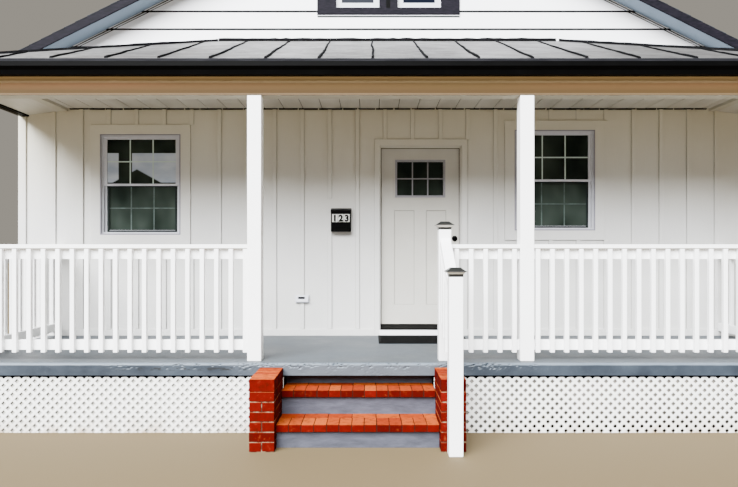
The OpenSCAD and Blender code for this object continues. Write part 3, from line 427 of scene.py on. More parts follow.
def makeRiserPaint():
    # The same grey brushed over rough mortar on the risers
    material, add, link = newMaterial("PaintedMortar", "#403d43", 0.65, 0.25)
    place = add("place")
    trowel = add("noise", add("stretch", place, (0.35, 1, 1)), grain(45), 5, 0.6)
    grit = add("noise", add("stretch", place, whole), grain(6), 3)
    link("Base Color", add("mix", add("range", trowel, 0.3, 0.7), "#31323a", "#41424c"))
    link("Normal", add("bump", grit, mm(0.8), 0.7, add("bump", trowel, mm(6))))
    return material


def makeBrick():
    # Fired clay with a sandy face: each brick has its own red; top faces are orange and upright faces deep
    # red, partly the bricks' own weathering and partly painted light from the sky on the tops and painted
    # shade on the sides
    material, add, link = newMaterial("FiredClayBrick", "#7c2410", 0.9, 0.04)
    point = add("stretch", add("place"), whole)
    tone = add("attribute", "tone")
    mottle = add("noise", point, grain(45), 5, 0.65)
    sand = add("noise", point, grain(3.5), 2)
    side = add("mix", tone, "#350100", "#4e0401")
    top = add("mix", tone, "#732309", "#934114")
    # partly painted light and shade: tops orange, upright faces deep red
    base = add("mix", add("range", add("axis", add("normal")), 0.3, 0.8), side, top)
    burnt = add("mix", add("range", mottle, 0.48, 0.72, 0, 0.6), base, "#2c0702")
    link("Base Color", add("mix", add("range", mottle, 0.27, 0.4, 0.45, 0), burnt, "#793317"))
    link("Normal", add("bump", sand, mm(0.7), 0.8, add("bump", mottle, mm(2))))
    return material


def makeMortar():
    # Lime mortar, pale and sandy, stained by the bricks and dark where it is weathered out
    material, add, link = newMaterial("SandyMortar", "#8f8373", 0.95, 0.1)
    point = add("stretch", add("place"), whole)
    stain = add("range", add("noise", point, grain(55), 4), 0.4, 0.55)
    link("Base Color", add("mix", stain, "#6d5f4a", "#342016"))
    link("Normal", add("bump", add("noise", point, grain(4), 3), mm(1.2)))
    return material


def makeGritty(name, flat, size, detail, part, dark, light, grit, bump):
    # Blocks and tabs that each have a tone of their own, under a coarse grit
    material, add, link = newMaterial(name, flat, 0.95, 0.15)
    speck = add("noise", add("stretch", add("place"), whole), grain(size), detail, 0.7)
    base = add("mix", add("attribute", "tone"), dark, light)
    link("Base Color", add("mix", add("range", speck, *part), base, grit))
    link("Normal", add("bump", speck, mm(bump)))
    return material


def makeLatticeVinyl():
    # White vinyl strips, a little soiled near the ground
    material, add, link = newMaterial("LatticeVinyl", "#e4e3df", 0.5, 0.3)
    place = add("place")
    soil = add("noise", add("stretch", place, whole), grain(130), 4)
    amount = add("math", "MULTIPLY", add("range", add("axis", place), 0, 0.16, 1, 0),
                 add("range", soil, 0.35, 0.75))
    link("Base Color", add("mix", amount, "#e4e3df", "#a38d72"))
    link("Normal", add("bump", soil, mm(0.3)))
    return material


def makeBeamPaint():
    # Flat tan paint on the front of the beam, darker along its lower part, with a painted highlight along
    # its upper part where the gutter's shadow falls; the underside is pale
    material, add, link = newMaterial("FlatTanPaint", "#5b4b2e", 0.7, 0.08)
    place = add("place")
    run = add("noise", add("stretch", place, (0.04, 1, 1)), grain(10), 4)
    cloud = add("noise", add("stretch", place, (0.3, 1, 1)), grain(900), 2)
    base = add("mix", add("range", cloud, 0.35, 0.65), "#503f24", "#5d422a")
    tan = add("mix", add("range", run, 0.45, 0.8, 0, 0.25), base, "#3d301e")
    high = add("axis", place)
    lower = add("mix", add("range", high, 2.985, 3.045), "#3c2d19", tan)
    # painted highlight: the upper part of the front is paler, against the shadow under the gutter
    litTop = add("mix", add("range", high, 3.05, 3.105), lower, "#d6bb8e")
    outward = add("range", add("axis", add("normal"), out="Y"), -0.5, -0.8)
    link("Base Color", add("mix", outward, "#b0ab9b", litTop))
    link("Normal", add("bump", run, mm(0.5)))
    return material


def makeBlackMetal():
    # Black enamel baked on aluminium: deep and smooth, dusty in places
    material, add, link = newMaterial("BakedBlackEnamel", "#030303", 0.5, 0.02)
    dust = add("noise", add("stretch", add("place"), whole), grain(160), 4)
    link("Base Color", add("mix", add("range", dust, 0.55, 0.9, 0, 0.12), "#030303", "#0f0f10"))
    link("Roughness", add("range", dust, 0.3, 0.8, 0.34, 0.5))
    link("Normal", add("bump", dust, mm(0.3)))
    return material


def makeRoofPaint():
    # Aluminium roof coating rolled on by hand: silver grey with cross strokes and old patches
    material, add, link = newMaterial("RolledRoofCoating", "#606062", 0.5, 0.3, 0.1)
    place = add("place")
    strokes = add("noise", add("stretch", place, (0.4, 1, 1)), grain(120), 5, 0.7)
    patch = add("noise", add("stretch", place, whole), grain(620), 4, 0.6)
    speck = add("noise", add("stretch", place, (1, 0.15, 1)), grain(34), 3, 0.6)
    base = add("mix", add("range", patch, 0.35, 0.65), "#4f4f50", "#5e5c5a")
    bright = add("mix", add("attribute", "tone"), base, "#6d6d6c")
    # the sheets darken towards the right end
    towardsRight = add("range", add("axis", place, out="X"), -2.6, 3, 0, 0.7)
    sheet = add("mix", towardsRight, bright, "#434241")
    worn = add("mix", add("range", strokes, 0.44, 0.62, 0, 0.6), sheet, "#353332")
    link("Base Color", add("mix", add("range", speck, 0.47, 0.64, 0, 0.45), worn, "#313133"))
    link("Roughness", add("range", strokes, 0.3, 0.7, 0.42, 0.6))
    link("Normal", add("bump", strokes, mm(1.2)))
    return material


def makeBacking():
    # A sheet close behind the lattice, pale on the left; painted shade of the dark crawl space darkens it
    # towards the right, in patches and near the ground, and a painted shadow darkens its top under the slab
    material, add, link = newMaterial("BackingSheetWithPaintedShade", "#999690", 0.9, 0.05)
    place = add("place")
    high = add("axis", place)
    cloud = add("noise", add("stretch", place, (1, 1, 0.7)), grain(560), 4, 0.55)
    # painted shade of the crawl space: darker towards the right, and in patches there
    right = add("range", add("axis", place, out="X"), -0.5, 1.2, 0.25, 1)
    sheet = add("mix", right, "#d5d2ca", "#757069")
    patches = add("math", "MULTIPLY", add("range", cloud, 0.42, 0.66, 0, 0.8), right)
    base = add("mix", patches, sheet, "#2b2825")
    # painted shade: on the right the sheet darkens towards the ground
    soil = add("math", "MULTIPLY", right, add("range", high, 0.06, 0.3, 1, 0))
    shadedFoot = add("mix", soil, base, "#120e0a")
    # painted shadow: black along its top, under the slab's edge
    link("Base Color", add("mix", add("range", high, 0.46, 0.47), shadedFoot, "#070707"))
    return material


paint = {key: makeEven(*values) for key, values in evenFinishes.items()}
paint.update({
    "siding": makeSidingPaint(), "trim": makeTrimPaint(), "glass": makeWindowGlass(),
    "door": makeDoorPaint(), "deck": makeDeckPaint(), "riser": makeRiserPaint(),
    "brick": makeBrick(), "mortar": makeMortar(), "lattice": makeLatticeVinyl(),
    "beam": makeBeamPaint(), "black": makeBlackMetal(), "roof": makeRoofPaint(),
    "backing": makeBacking(),
    # cast concrete, open and grey, and asphalt shingles, mineral granules on felt
    "block": makeGritty("CastConcreteBlock", "#585752", 9, 5, (0.5, 0.75, 0, 0.6),
                        "#4f4f4a", "#65635e", "#3b3a37", 2),
    "shingle": makeGritty("MineralShingle", "#212326", 5, 3, (0.5, 0.72, 0, 0.7),
                          "#17191d", "#2c2f33", "#4e4f54", 1.5),
})
print("materials:", len(paint))


# Front wall siding

battens = {
    "width": 44,
    "depth": 17,
    "under": 6,           # the back is narrower by this on each side, which leaves a dark line
    "first": -3819,       # the batten nearest the left corner
    "step": 315,
    "edge": 2,
}

windowTrim = {"half": 569, "below": 112, "above": 112}
sideWindowStep = 3000
backWindowX = 2100
cornerWidth = 66

windowHigh = 1142
windowPlaces = {"left": (-2829, 1152), "right": (1896, 1201)}
sideWindowUp = (1152 + 1201) / 2
doorway = {"middle": 369, "half": 462, "head": 2159, "trim": 66, "over": 80, "side": 532, "line": 2243}
mailPlace = (-539, 1184)
outletPlace = (-982, 419)
frontWall = {
    "foot": 74, "underCeiling": 17,
    # beside the porch the soffit slopes down to the corner
    "corner": 3640, "sideUp": 2561, "sideFrom": 3760, "sideSlope": 0.124,
}


def battenHeights(x, foot, top, holes):
    # The runs of a batten at x that are free of the trim of windows and doors
    reach = battens["width"] / 2 + 1
    blocked = sorted((low, high) for middle, half, low, high in holes if abs(x - middle) < half + reach)
    runs = []
    for low, high in blocked:
        if low > foot + 20:
            runs.append((foot, low))
        foot = max(foot, high)
    if top > foot + 20:
        runs.append((foot, top))
    return runs


def windowHole(x, low):
    trim = windowTrim
    return (x, trim["half"], low - trim["below"] - 1, low + windowHigh + trim["above"] + 1)


def joinInto(target, bm):
    part = bpy.data.meshes.new("part")
    bm.to_mesh(part)
    bm.free()
    target.from_mesh(part)
    bpy.data.meshes.remove(part)


def turnedWall(bm, turn):
    # Turns what was drawn on the front wall round to another wall
    bmesh.ops.transform(bm, matrix=turn, verts=bm.verts[:])


def sideTurn(side):
    # From the front wall's middle to the middle of a side wall
    move = Matrix.Translation(at(side * houseHalf, houseLength / 2, 0))
    spin = Matrix.Rotation(math.radians(90 * side), 4, "Z")
    return move @ spin @ Matrix.Translation(-at(0, 0, 0))


def backTurn():
    move = Matrix.Translation(at(0, houseLength, 0))
    return move @ Matrix.Rotation(math.pi, 4, "Z") @ Matrix.Translation(-at(0, 0, 0))


def addBatten(bm, x, low, high):
    b = battens
    front, back = b["width"] / 2, b["width"] / 2 - b["under"]
    outline = [at(x - front, -b["depth"], 0), at(x + front, -b["depth"], 0),
               at(x + front, -b["depth"] + 5, 0), at(x + back, 0.5, 0),
               at(x - back, 0.5, 0), at(x - front, -b["depth"] + 5, 0)]
    addPrism(bm, outline, (0, 0, low), (0, 0, high))


def addBattens(bm, lines, x0, x1, foot, topOver, holes):
    # The battens, and a thin line of painted shadow in the joint beside each one
    b = battens
    x = b["first"] + b["step"] * math.ceil((x0 - b["first"]) / b["step"])
    while x <= x1:
        for low, high in battenHeights(x, foot, topOver(x), holes):
            addBatten(bm, x, low, high)
            for s in (-1, 1):
                edge = x + s * (b["width"] / 2 + 1.2)
                addBlock(lines, edge - 1.5, edge + 1.5, -0.9, 0.3, low, high)
        x += b["step"]


def frontTopUp(x):
    fw = frontWall
    if abs(x) < fw["corner"]:
        return span("porch_ceiling")[2][1] - fw["underCeiling"]
    return fw["sideUp"] - (abs(x) - fw["sideFrom"]) * fw["sideSlope"]


def finishBattens(bm, lines, name, linesName, turn=None):
    if turn:
        for mesh in (bm, lines):
            turnedWall(mesh, turn)
    finishPiece(lines, linesName, "joint")
    finishPiece(bm, name, "siding")


def makeFrontBattens():
    windows = [windowHole(*place) for place in windowPlaces.values()]
    (mailX, mailUp), (outletX, outletUp) = mailPlace, outletPlace
    d = doorway
    holes = windows + [
        # middle, half width, foot and top of the door's trim, the outlet and the mailbox
        (d["middle"], d["half"] + d["trim"], -1, d["head"] + d["over"]),
        (outletX, 84, outletUp - 46, outletUp + 46), (mailX, 117, mailUp, mailUp + 380),
    ]
    edge = houseHalf - cornerWidth - 30
    bm, lines = newMesh(), newMesh()
    addBattens(bm, lines, -edge, edge, frontWall["foot"], frontTopUp, holes)
    # painted shadow lines round the trim of the windows and the door
    for x, half, low, high in windows:
        addRing(lines, x - half, x + half, low, high, 2, -1.2, 0.3)
    addRing(lines, 374 - d["side"], 374 + d["side"], frontWall["foot"], d["line"], 3, -1.2, 0.3)
    bevelAll(bm, battens["edge"])
    finishBattens(bm, lines, "front_battens", "front_joint_lines")


def makeSideBattens():
    edge = houseLength / 2 - cornerWidth - 30
    top = 3000
    holes = [windowHole(k * sideWindowStep, sideWindowUp) for k in (-1, 0, 1)]
    for side, name in ((-1, "left_battens"), (1, "right_battens")):
        bm, lines = newMesh(), newMesh()
        addBattens(bm, lines, -edge, edge, wallFoot, lambda x: top, holes)
        bevelAll(bm, battens["edge"])
        finishBattens(bm, lines, name, name + "_joint_lines", sideTurn(side))


def makeBackBattens():
    bm, lines = newMesh(), newMesh()
    edge = houseHalf - cornerWidth - 30
    top = wallTopUp - 60
    holes = [windowHole(s * backWindowX, sideWindowUp) for s in (-1, 1)]
    addBattens(bm, lines, -edge, edge, wallFoot, lambda x: top, holes)
    bevelAll(bm, battens["edge"])
    addBlock(bm, -houseHalf + 4, houseHalf - 4, -24, 0.5, top, wallTopUp + 30)
    finishBattens(bm, lines, "back_battens", "back_joint_lines", backTurn())


# Lapped boards on the two gables

laps = {
    "exposure": 203,
    "start": 2692,        # bottom of the lowest course over the porch floor
    "thick": 15,          # at the bottom edge of a board
    "thin": 5,            # where the board above covers it
    "lap": 25,
}
roofPeak = 1000 * (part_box("front_gable")[1][2] - floorZ)
roofSlope = 0.4997


def addLap(boards, gaps, bottom):
    # One tapered course right across the gable, trimmed to the roof afterwards, and a strip of painted
    # shadow in the gap under its edge
    lp = laps
    top = bottom + lp["exposure"] + lp["lap"]
    halfWide = min((roofPeak - bottom) / roofSlope + 5, houseHalf)
    thick, thin = -lp["thick"], -lp["thin"]
    prismAlongX(boards, -halfWide, halfWide, [
        (0.5, bottom + 9), (thin, bottom + 6), (thick + 3, bottom), (thick, bottom + 2),
        (thin, top), (0.5, top),
    ])
    if bottom > lp["start"]:
        addBlock(gaps, -halfWide, halfWide, thick + 3, -1, bottom - 18, bottom + 4)


def trimUnderRoof(bm, drop):
    for side in (-1, 1):
        normal = Vector((side * roofSlope, 0, 1)).normalized()
        clipTo(bm, at(0, 0, roofPeak - drop), normal)


def makeGableSiding(name, back):
    # The courses are laid four times, cut to the parts beside, under and over the window
    xs, (face, _), zs = span("gable_window_trim")
    left, right = xs[0] + 3, xs[1] - 3
    sides = ((at(left, 0, 0), (-1, 0, 0)), (at(right, 0, 0), (1, 0, 0)))
    parts = (
        ((at(left, 0, 0), (1, 0, 0)),),
        ((at(right, 0, 0), (-1, 0, 0)),),
        (*sides, (at(0, 0, zs[0] + 3), (0, 0, 1))),
        (*sides, (at(0, 0, zs[1] - 3), (0, 0, -1))),
    )
    lp = laps
    boards, gaps = newMesh(), newMesh()
    for planes in parts:
        courses, lines = newMesh(), newMesh()
        bottom = lp["start"]
        while bottom < roofPeak - 60:
            addLap(courses, lines, bottom)
            bottom += lp["exposure"]
        for mesh, whole in ((courses, boards), (lines, gaps)):
            trimUnderRoof(mesh, 10)
            for point, normal in planes:
                clipTo(mesh, point, normal)
            joinInto(whole, mesh)
    foot = newMesh()
    addBlock(foot, xs[0], xs[1], -22, -1, zs[0] - 22, zs[0] - 14)
    bevelAll(foot, 1.5)
    joinInto(boards, foot)
    # painted shadow under the white strip below the sill
    addBlock(gaps, xs[0] + 4, xs[1] - 4, -17.5, -1, zs[0] - 32, zs[0] - 22)
    dark = newMesh()
    addBlock(dark, xs[0] + 0.5, xs[1] - 0.5, face + 1, -1, zs[0] - 14, zs[0] + 2)
    # painted shade: a black strip in the groove up the middle of the mullion between the gable sashes
    groove = newMesh()
    addBlock(groove, -26, 20, face - 0.6, face + 4, 3733, zs[1] - 70)
    if back:
        for mesh in (boards, gaps, dark, groove):
            turnedWall(mesh, backTurn())
    finishPiece(dark, name + "_sill", "slate")
    finishPiece(groove, name + "_groove", "black")
    finishPiece(boards, name, "lap")
    finishPiece(gaps, name + "_gaps", "gap")


def makeRakeLines():
    # Two thin lines of painted shadow where the gable boards meet the soffit under each rake
    bm = newMesh()
    steep = math.hypot(1, roofSlope)
    for turn in (None, backTurn()):
        part = newMesh()
        for side in (-1, 1):
            for down, high in ((22, 9), (46, 6)):
                outline = []
                for x, drop in ((60, 0), (houseHalf - 30, 0), (houseHalf - 30, high), (60, high)):
                    outline.append(at(side * x, 0, roofPeak - roofSlope * x - (down + drop) * steep))
                addPrism(part, outline, (0, -17, 0), (0, 0.4, 0))
        if turn:
            turnedWall(part, turn)
        joinInto(bm, part)
    finishPiece(bm, "rake_lines", "gap")


makeFrontBattens()
makeSideBattens()
makeBackBattens()
makeGableSiding("front_gable_boards", False)
makeGableSiding("back_gable_boards", True)
makeRakeLines()
print("siding: battens and lapped boards")


# House body: walls, roof and trim

shingles = {
    "exposure": 143,      # of each course up the slope
    "tab": 320,           # width of a tab along the eave
    "gap": 5,
    "thick": 8,
    "deck": 83,           # boards under the shingles, measured upright
    "bed": 4,             # felt and the course below
}


def toneLayer(bm):
    return bm.faces.layers.float.get("tone") or bm.faces.layers.float.new("tone")


def paintTone(bm, verts, value):
    # Gives the faces of a block one tone between 0 and 1
    layer = toneLayer(bm)
    for face in {f for v in verts for f in v.link_faces}:
        face[layer] = value


def makeShingles(side, name, node):
    draw = random.Random(11 + side)
    bm = newMesh()
    sh = shingles
    slope = math.atan(roofSlope)
    down, over = math.sin(slope), math.cos(slope)
    eaveX = 1000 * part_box("roof_right")[1][0]
    y0, y1 = span("roof_right")[1]
    deckTop = roofPeak + sh["deck"]
    top = deckTop + sh["bed"] - 1
    length = (eaveX - sh["thick"] * down) / over

    def onSlope(far, lift):
        # A point so far down the slope from the ridge, lifted square off it
        return (side * (far * over + lift * down), top - far * down + lift * over)

    prismAlongY(bm, y0, y1, [
        (0, deckTop), (side * eaveX, deckTop - roofSlope * eaveX),
        (side * eaveX, deckTop - roofSlope * eaveX + sh["bed"]), (0, deckTop + sh["bed"]),
    ])
    for row in range(int(length // sh["exposure"]) + 1):
        low = row * sh["exposure"]
        high = min(low + sh["exposure"] + 6, length - 2)
        y = y0 - (row % 2) * sh["tab"] / 2 - draw.uniform(0, 40)
        while y < y1:
            a, b = max(y, y0), min(y + sh["tab"] - sh["gap"], y1)
            y += sh["tab"]
            if b - a < 12:
                continue
            thick = sh["thick"] * draw.uniform(0.75, 1.0)
            made = prismAlongY(bm, a, b, [onSlope(length - low, 0), onSlope(length - low, thick),
                                          onSlope(length - high, 1), onSlope(length - high, 0)])
            paintTone(bm, made, draw.random())
    finishPiece(bm, name, "shingle", nodes=(node,))


def makeDeck(side, name, node):
    # The boards under the shingles, which show at the eaves and indoors
    sh = shingles
    eaveX = 1000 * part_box("roof_right")[1][0] - 22
    y0, y1 = span("roof_right")[1]
    peak = roofPeak + 0.3
    bm = newMesh()
    prismAlongY(bm, y0 + 22, y1 - 22, [
        (0, peak), (side * eaveX, peak - roofSlope * eaveX),
        (side * eaveX, peak - roofSlope * eaveX + sh["deck"] - 1), (0, peak + sh["deck"] - 1),
    ])
    finishPiece(bm, name, "soffit", nodes=(node,))


ridgeCaps = {"exposure": 150, "leg": 140, "thick": 6}


def makeRidgeShingles():
    rc = ridgeCaps
    y0, y1 = span("ridge_cap")[1]
    top = span("ridge_cap")[2][1]
    draw = random.Random(5)
    bm = newMesh()
    count = int((y1 - y0) // rc["exposure"])
    step = (y1 - y0) / count
    drop = roofSlope * rc["leg"]
    for k in range(count):
        a = y0 + k * step
        b = min(a + step + 18, y1)
        outline = [
            (0, top - 12), (-rc["leg"], top - 12 - drop), (-rc["leg"], top - 6 - drop),
            (0, top - 6), (rc["leg"], top - 6 - drop), (rc["leg"], top - 12 - drop),
        ]
        made = prismAlongY(bm, a, b, outline)
        # the exposed end of a cap lies on the one before it
        bmesh.ops.translate(bm, vec=(0, 0, 0.0058), verts=[v for v in made if v.co.y < at(0, a + 5, 0).y])
        paintTone(bm, made, draw.random())
    finishPiece(bm, "ridge_shingles", "shingle", nodes=("ridge_cap",))


foundationBlocks = {"length": 398, "height": 193, "joint": 9, "proud": 6, "deep": 30}


def makeFoundationBlocks():
    # Courses of concrete block on the outer faces, with raked joints between them
    fb = foundationBlocks
    (x0, x1), (y0, y1), (z0, z1) = span("foundation")
    draw = random.Random(21)
    bm = newMesh()
    step = fb["length"] + fb["joint"]
    rise = fb["height"] + fb["joint"]
    row = 0
    z = z0
    while z < z1 - 20:
        high = min(z + fb["height"], z1)
        for start, end, alongX, face, out in ((x0, x1, True, y0, -1), (x0, x1, True, y1, 1),
                                              (y0, y1, False, x0, -1), (y0, y1, False, x1, 1)):
            across = sorted((face + out * fb["proud"], face - out * fb["deep"]))
            u = start - (row % 2) * step / 2
            while u < end:
                a, b = max(u, start), min(u + fb["length"], end)
                u += step
                if b - a < 20:
                    continue
                sides = (a, b, *across) if alongX else (*across, a, b)
                paintTone(bm, addBlock(bm, *sides, z, high), draw.random())
        z += rise
        row += 1
    bevelAll(bm, 2.5)
    finishPiece(bm, "foundation_blocks", "block")


makeShingles(-1, "left_shingles", "roof_left")
makeShingles(1, "right_shingles", "roof_right")
makeDeck(-1, "left_roof_boards", "roof_left")
makeDeck(1, "right_roof_boards", "roof_right")
makeRidgeShingles()
makeFoundationBlocks()
setFinish("siding", "left_wall", "right_wall", "back_wall", "front_wall_left", "front_wall_right",
          "front_wall_over_door")
setFinish("lap", "front_gable", "back_gable")
setFinish("mortar", "foundation")
setFinish("oak", "house_floor")
setFinish("plaster", "attic_floor")
setFinish("block", "block_piers")
setFinish("soffit", "soffit_boards")
for node in ("front_rake_boards", "back_rake_boards", "eave_boards", "gable_window_trim"):
    softNode(node, node + "_painted", 3, "slate")
for node in ("corner_boards", "base_boards", "window_trim"):
    softNode(node, node + "_painted", 3, "siding")
print("house: roof, foundation and trim")


# Porch roof, gutters, beam and ceiling

porchRoof = {
    "ridgeUp": 3365, "ridgeHalf": 1925, "eaveUp": 2640, "edge": 4161,
    "seamStep": 470, "seamFirst": -189,
    "sheet": 3, "cell": 47, "wave": 2.6,
    "sealWide": 25, "sealHigh": 19, "wobble": 7,
    "capWide": 40, "capHigh": 24,
}


def edgeOut():
    return -span("porch_roof_front")[1][0]


def frontTop(out):
    pr = porchRoof
    return pr["ridgeUp"] - (pr["ridgeUp"] - pr["eaveUp"]) * out / edgeOut()


def hipOut(x):
    # How far out the hip lies from the wall at a distance from the middle
    pr = porchRoof
    return edgeOut() * max(0.0, (abs(x) - pr["ridgeHalf"]) / (pr["edge"] - pr["ridgeHalf"]))


def hipX(out):
    pr = porchRoof
    return pr["ridgeHalf"] + (pr["edge"] - pr["ridgeHalf"]) * out / edgeOut()


def sideTop(x):
    # The height of a hipped end at a distance from the middle
    pr = porchRoof
    drop = pr["ridgeUp"] - pr["eaveUp"]
    return pr["ridgeUp"] - drop * (x - pr["ridgeHalf"]) / (pr["edge"] - pr["ridgeHalf"])


def panWave(x, y, inside):
    # Hand-rolled sheets lie a little uneven, but true along their edges
    level = 0.5 + 0.5 * noise.noise(Vector((x / 190, y / 240, 0)))
    return -porchRoof["wave"] * level * min(1, inside / 60)


def addSheet(bm, grid, tones):
    # A closed sheet under a grid of points in place, with a tone for each column
    layer = toneLayer(bm)
    drop = Vector((0, 0, -porchRoof["sheet"] / 1000))
    top = [[bm.verts.new(p) for p in row] for row in grid]
    low = [[bm.verts.new(p + drop) for p in row] for row in grid]
    for r in range(len(grid) - 1):
        for c in range(len(grid[0]) - 1):
            for side in (top, low):
                ring = (side[r][c], side[r][c + 1], side[r + 1][c + 1], side[r + 1][c])
                face = bm.faces.new(ring if side is top else tuple(reversed(ring)))
                face[layer] = tones[c]
    rim = [(0, c) for c in range(len(grid[0]))] + [(r, len(grid[0]) - 1) for r in range(1, len(grid))]
    rim += [(len(grid) - 1, c) for c in range(len(grid[0]) - 2, -1, -1)]
    rim += [(r, 0) for r in range(len(grid) - 2, 0, -1)]
    for k in range(len(rim)):
        (a, b), (c, d) = rim[k], rim[(k + 1) % len(rim)]
        bm.faces.new((top[a][b], low[a][b], low[c][d], top[c][d]))


def makeRoofSheets():
    # Painted sheets on the front slope and on the two hipped ends
    pr = porchRoof
    draw = random.Random(12)
    out, rows = edgeOut(), 24
    columns = int(2 * pr["edge"] / pr["cell"])
    bm = newMesh()
    tones = []
    pan = None
    for c in range(columns):
        x = -pr["edge"] + (c + 0.5) * 2 * pr["edge"] / columns
        number = math.floor((x - pr["seamFirst"]) / pr["seamStep"])
        if number != pan:
            pan, tone = number, draw.random() * 0.8
        tones.append(min(1, tone + max(0, 0.25 - abs(x + 300) / 6000)))
    grid = []
    for r in range(rows + 1):
        y = out * r / rows
        half = hipX(y)
        row = []
        for c in range(columns + 1):
            x = half * (2 * c / columns - 1)
            inside = min(y, out - y, half - abs(x))
            row.append(at(x, -y, frontTop(y) + panWave(x, y, inside)))
        grid.append(row)
    addSheet(bm, grid, tones)
    for side in (-1, 1):
        grid = []
        steps = 20
        for r in range(steps + 1):
            y = -0.5 - (out - 1) * r / steps
            row = []
            for c in range(steps + 1):
                x = hipX(-y) + (pr["edge"] - hipX(-y)) * c / steps
                inside = min(x - hipX(-y), pr["edge"] - x, -y)
                row.append(at(side * x, y, sideTop(x) + panWave(x, y, inside)))
            grid.append(row if side < 0 else row[::-1])
        addSheet(bm, grid, [draw.random() * 0.8 for _ in range(steps)])
    bmesh.ops.remove_doubles(bm, verts=bm.verts[:], dist=0.00001)
    bmesh.ops.dissolve_degenerate(bm, edges=bm.edges[:], dist=0.00001)
    bmesh.ops.recalc_face_normals(bm, faces=bm.faces[:])
    finishPiece(bm, "roof_sheets", "roof",
                nodes=("porch_roof_front", "porch_roof_sides"))


def bridge(bm, rings):
    # A closed skin from one ring of vertices to the next, with both ends covered
    bm.faces.new(list(reversed(rings[0])))
    for one, other in zip(rings, rings[1:]):
        for a in range(len(one)):
            b = (a + 1) % len(one)
            bm.faces.new((one[a], one[b], other[b], other[a]))
    bm.faces.new(rings[-1])


def addRibbon(bm, points, halfWide, sideways, low, high, draw, wobble, steps=14, taper=1.0):
    # A closed strip along a row of points, its width along sideways, wandering a little
    rows = []
    for k in range(len(points) - 1):
        for j in range(steps if k < len(points) - 2 else steps + 1):
            rows.append((points[k].lerp(points[k + 1], j / steps), (k + j / steps) / (len(points) - 1)))
    rings = []
    drift = 0.0
    for place, done in rows:
        drift = 0.82 * drift + draw.uniform(-wobble, wobble) / 1000
        across = sideways * halfWide / 1000 * draw.uniform(0.8, 1.2) * (taper + (1 - taper) * done)
        centre = place + sideways * drift
        swell = draw.uniform(0.75, 1.0) * (taper + (1 - taper) * done)
        rings.append([bm.verts.new(centre + across * s + Vector((0, 0, h / 1000)))
                      for s, h in ((-1, low), (-0.7, high * swell), (0.7, high * swell), (1, low))])
    bridge(bm, rings)


def makeSeamSealer():
    # Sealer brushed over each seam by hand; it stops a little short of the eave
    pr = porchRoof
    draw = random.Random(3)
    bm = newMesh()
    half, high, wobble = pr["sealWide"] / 2, pr["sealHigh"], pr["wobble"]
    count = int((pr["edge"] - 22) // pr["seamStep"])
    for k in range(-count, count + 1):
        x = pr["seamFirst"] + k * pr["seamStep"]
        near, far = hipOut(x) + 12, edgeOut() - draw.uniform(25, 60)
        if near > far - 60:
            continue
        ends = [at(x, -near, frontTop(near)), at(x, -far, frontTop(far))]
        addRibbon(bm, ends, half, Vector((1, 0, 0)), -2, high, draw, wobble, 16, 0.6)
    for side in (-1, 1):
        y = -pr["seamStep"] / 2
        while y > 22 - edgeOut():
            x0 = hipX(-y) + 14
            ends = [at(side * x, y, sideTop(x)) for x in (x0, pr["edge"] - 30)]
            addRibbon(bm, ends, half, Vector((0, side, 0)), -2, high, draw, wobble)
            y -= pr["seamStep"]
    bmesh.ops.recalc_face_normals(bm, faces=bm.faces[:])
    finishPiece(bm, "seam_sealer", "tar")


def makeHipSealer():
    # The same sealer down each hip and along the wall, with a pale break beside the right hip
    pr = porchRoof
    draw = random.Random(8)
    bm = newMesh()
    half, high = pr["capWide"] / 2, pr["capHigh"]
    top = pr["ridgeUp"]
    for side in (-1, 1):
        a = at(side * (pr["ridgeHalf"] + 22), -20, top - 8)
        b = at(side * (pr["edge"] - 14), 14 - edgeOut(), pr["eaveUp"] + 4)
        across = (b - a).cross(Vector((0, 0, 1))).normalized()
        addRibbon(bm, [a, b], half, across, -6, high, draw, 4, 30)
        c = at(side * (pr["edge"] - 40), -14, pr["eaveUp"] + 13)
        wall = at(side * (pr["ridgeHalf"] + 30), -14, top - 12)
        addRibbon(bm, [wall, c], 13, Vector((0, 1, 0)), -6, 32, draw, 1, 20)
    a = at(-pr["ridgeHalf"] - 10, -14, top - 8)
    b = at(pr["ridgeHalf"] - 16, -14, top - 8)
    addRibbon(bm, [a, b], 14, Vector((0, 1, 0)), -6, 38, draw, 1, 60)
    bmesh.ops.recalc_face_normals(bm, faces=bm.faces[:])
    finishPiece(bm, "hip_and_wall_sealer", "tar")


def makeDripEdge():
    # The folded edge of the roof metal over the gutter, coated unevenly along its top
    pr = porchRoof
    y0 = -edgeOut()
    eave = pr["eaveUp"]
    draw = random.Random(23)
    bm = newMesh()
    rings = []
    count = 90
    for k in range(count + 1):
        x = -pr["edge"] + 2 * pr["edge"] * k / count
        over = draw.uniform(8, 18)
        shape = [(y0 - 9, eave - 24), (y0 - 9, eave - 4), (y0 - 2, eave + 2),
                 (y0 + over, eave + 2.6 + over * 0.442), (y0 + over, eave - 1), (y0 + 2, eave - 24)]
        rings.append([bm.verts.new(at(x, y, z)) for y, z in shape])
    bridge(bm, rings)
    bmesh.ops.recalc_face_normals(bm, faces=bm.faces[:])
    finishPiece(bm, "drip_edge", "lip")


gutterLip = {"high": 10, "corner": 92}


def makeGutterLips():
    # The rolled lip along the top of each gutter
    (x0, x1), (y0, y1), (_, top) = span("porch_gutters")
    gl = gutterLip
    bm = newMesh()
    addBlock(bm, x0, x1, y0 - 0.5, y0 + 7, top - gl["high"], top + 1)
    for s in (-1, 1):
        a, b = sorted((s * (x1 + 0.5), s * (x1 - 7)))
        addBlock(bm, a, b, y0 + gl["corner"], y1, top - gl["high"], top + 1)
    bevelAll(bm, 2.4, 2)
    finishPiece(bm, "gutter_lips", "lip")


beamTrim = {"high": 17, "proud": 3}


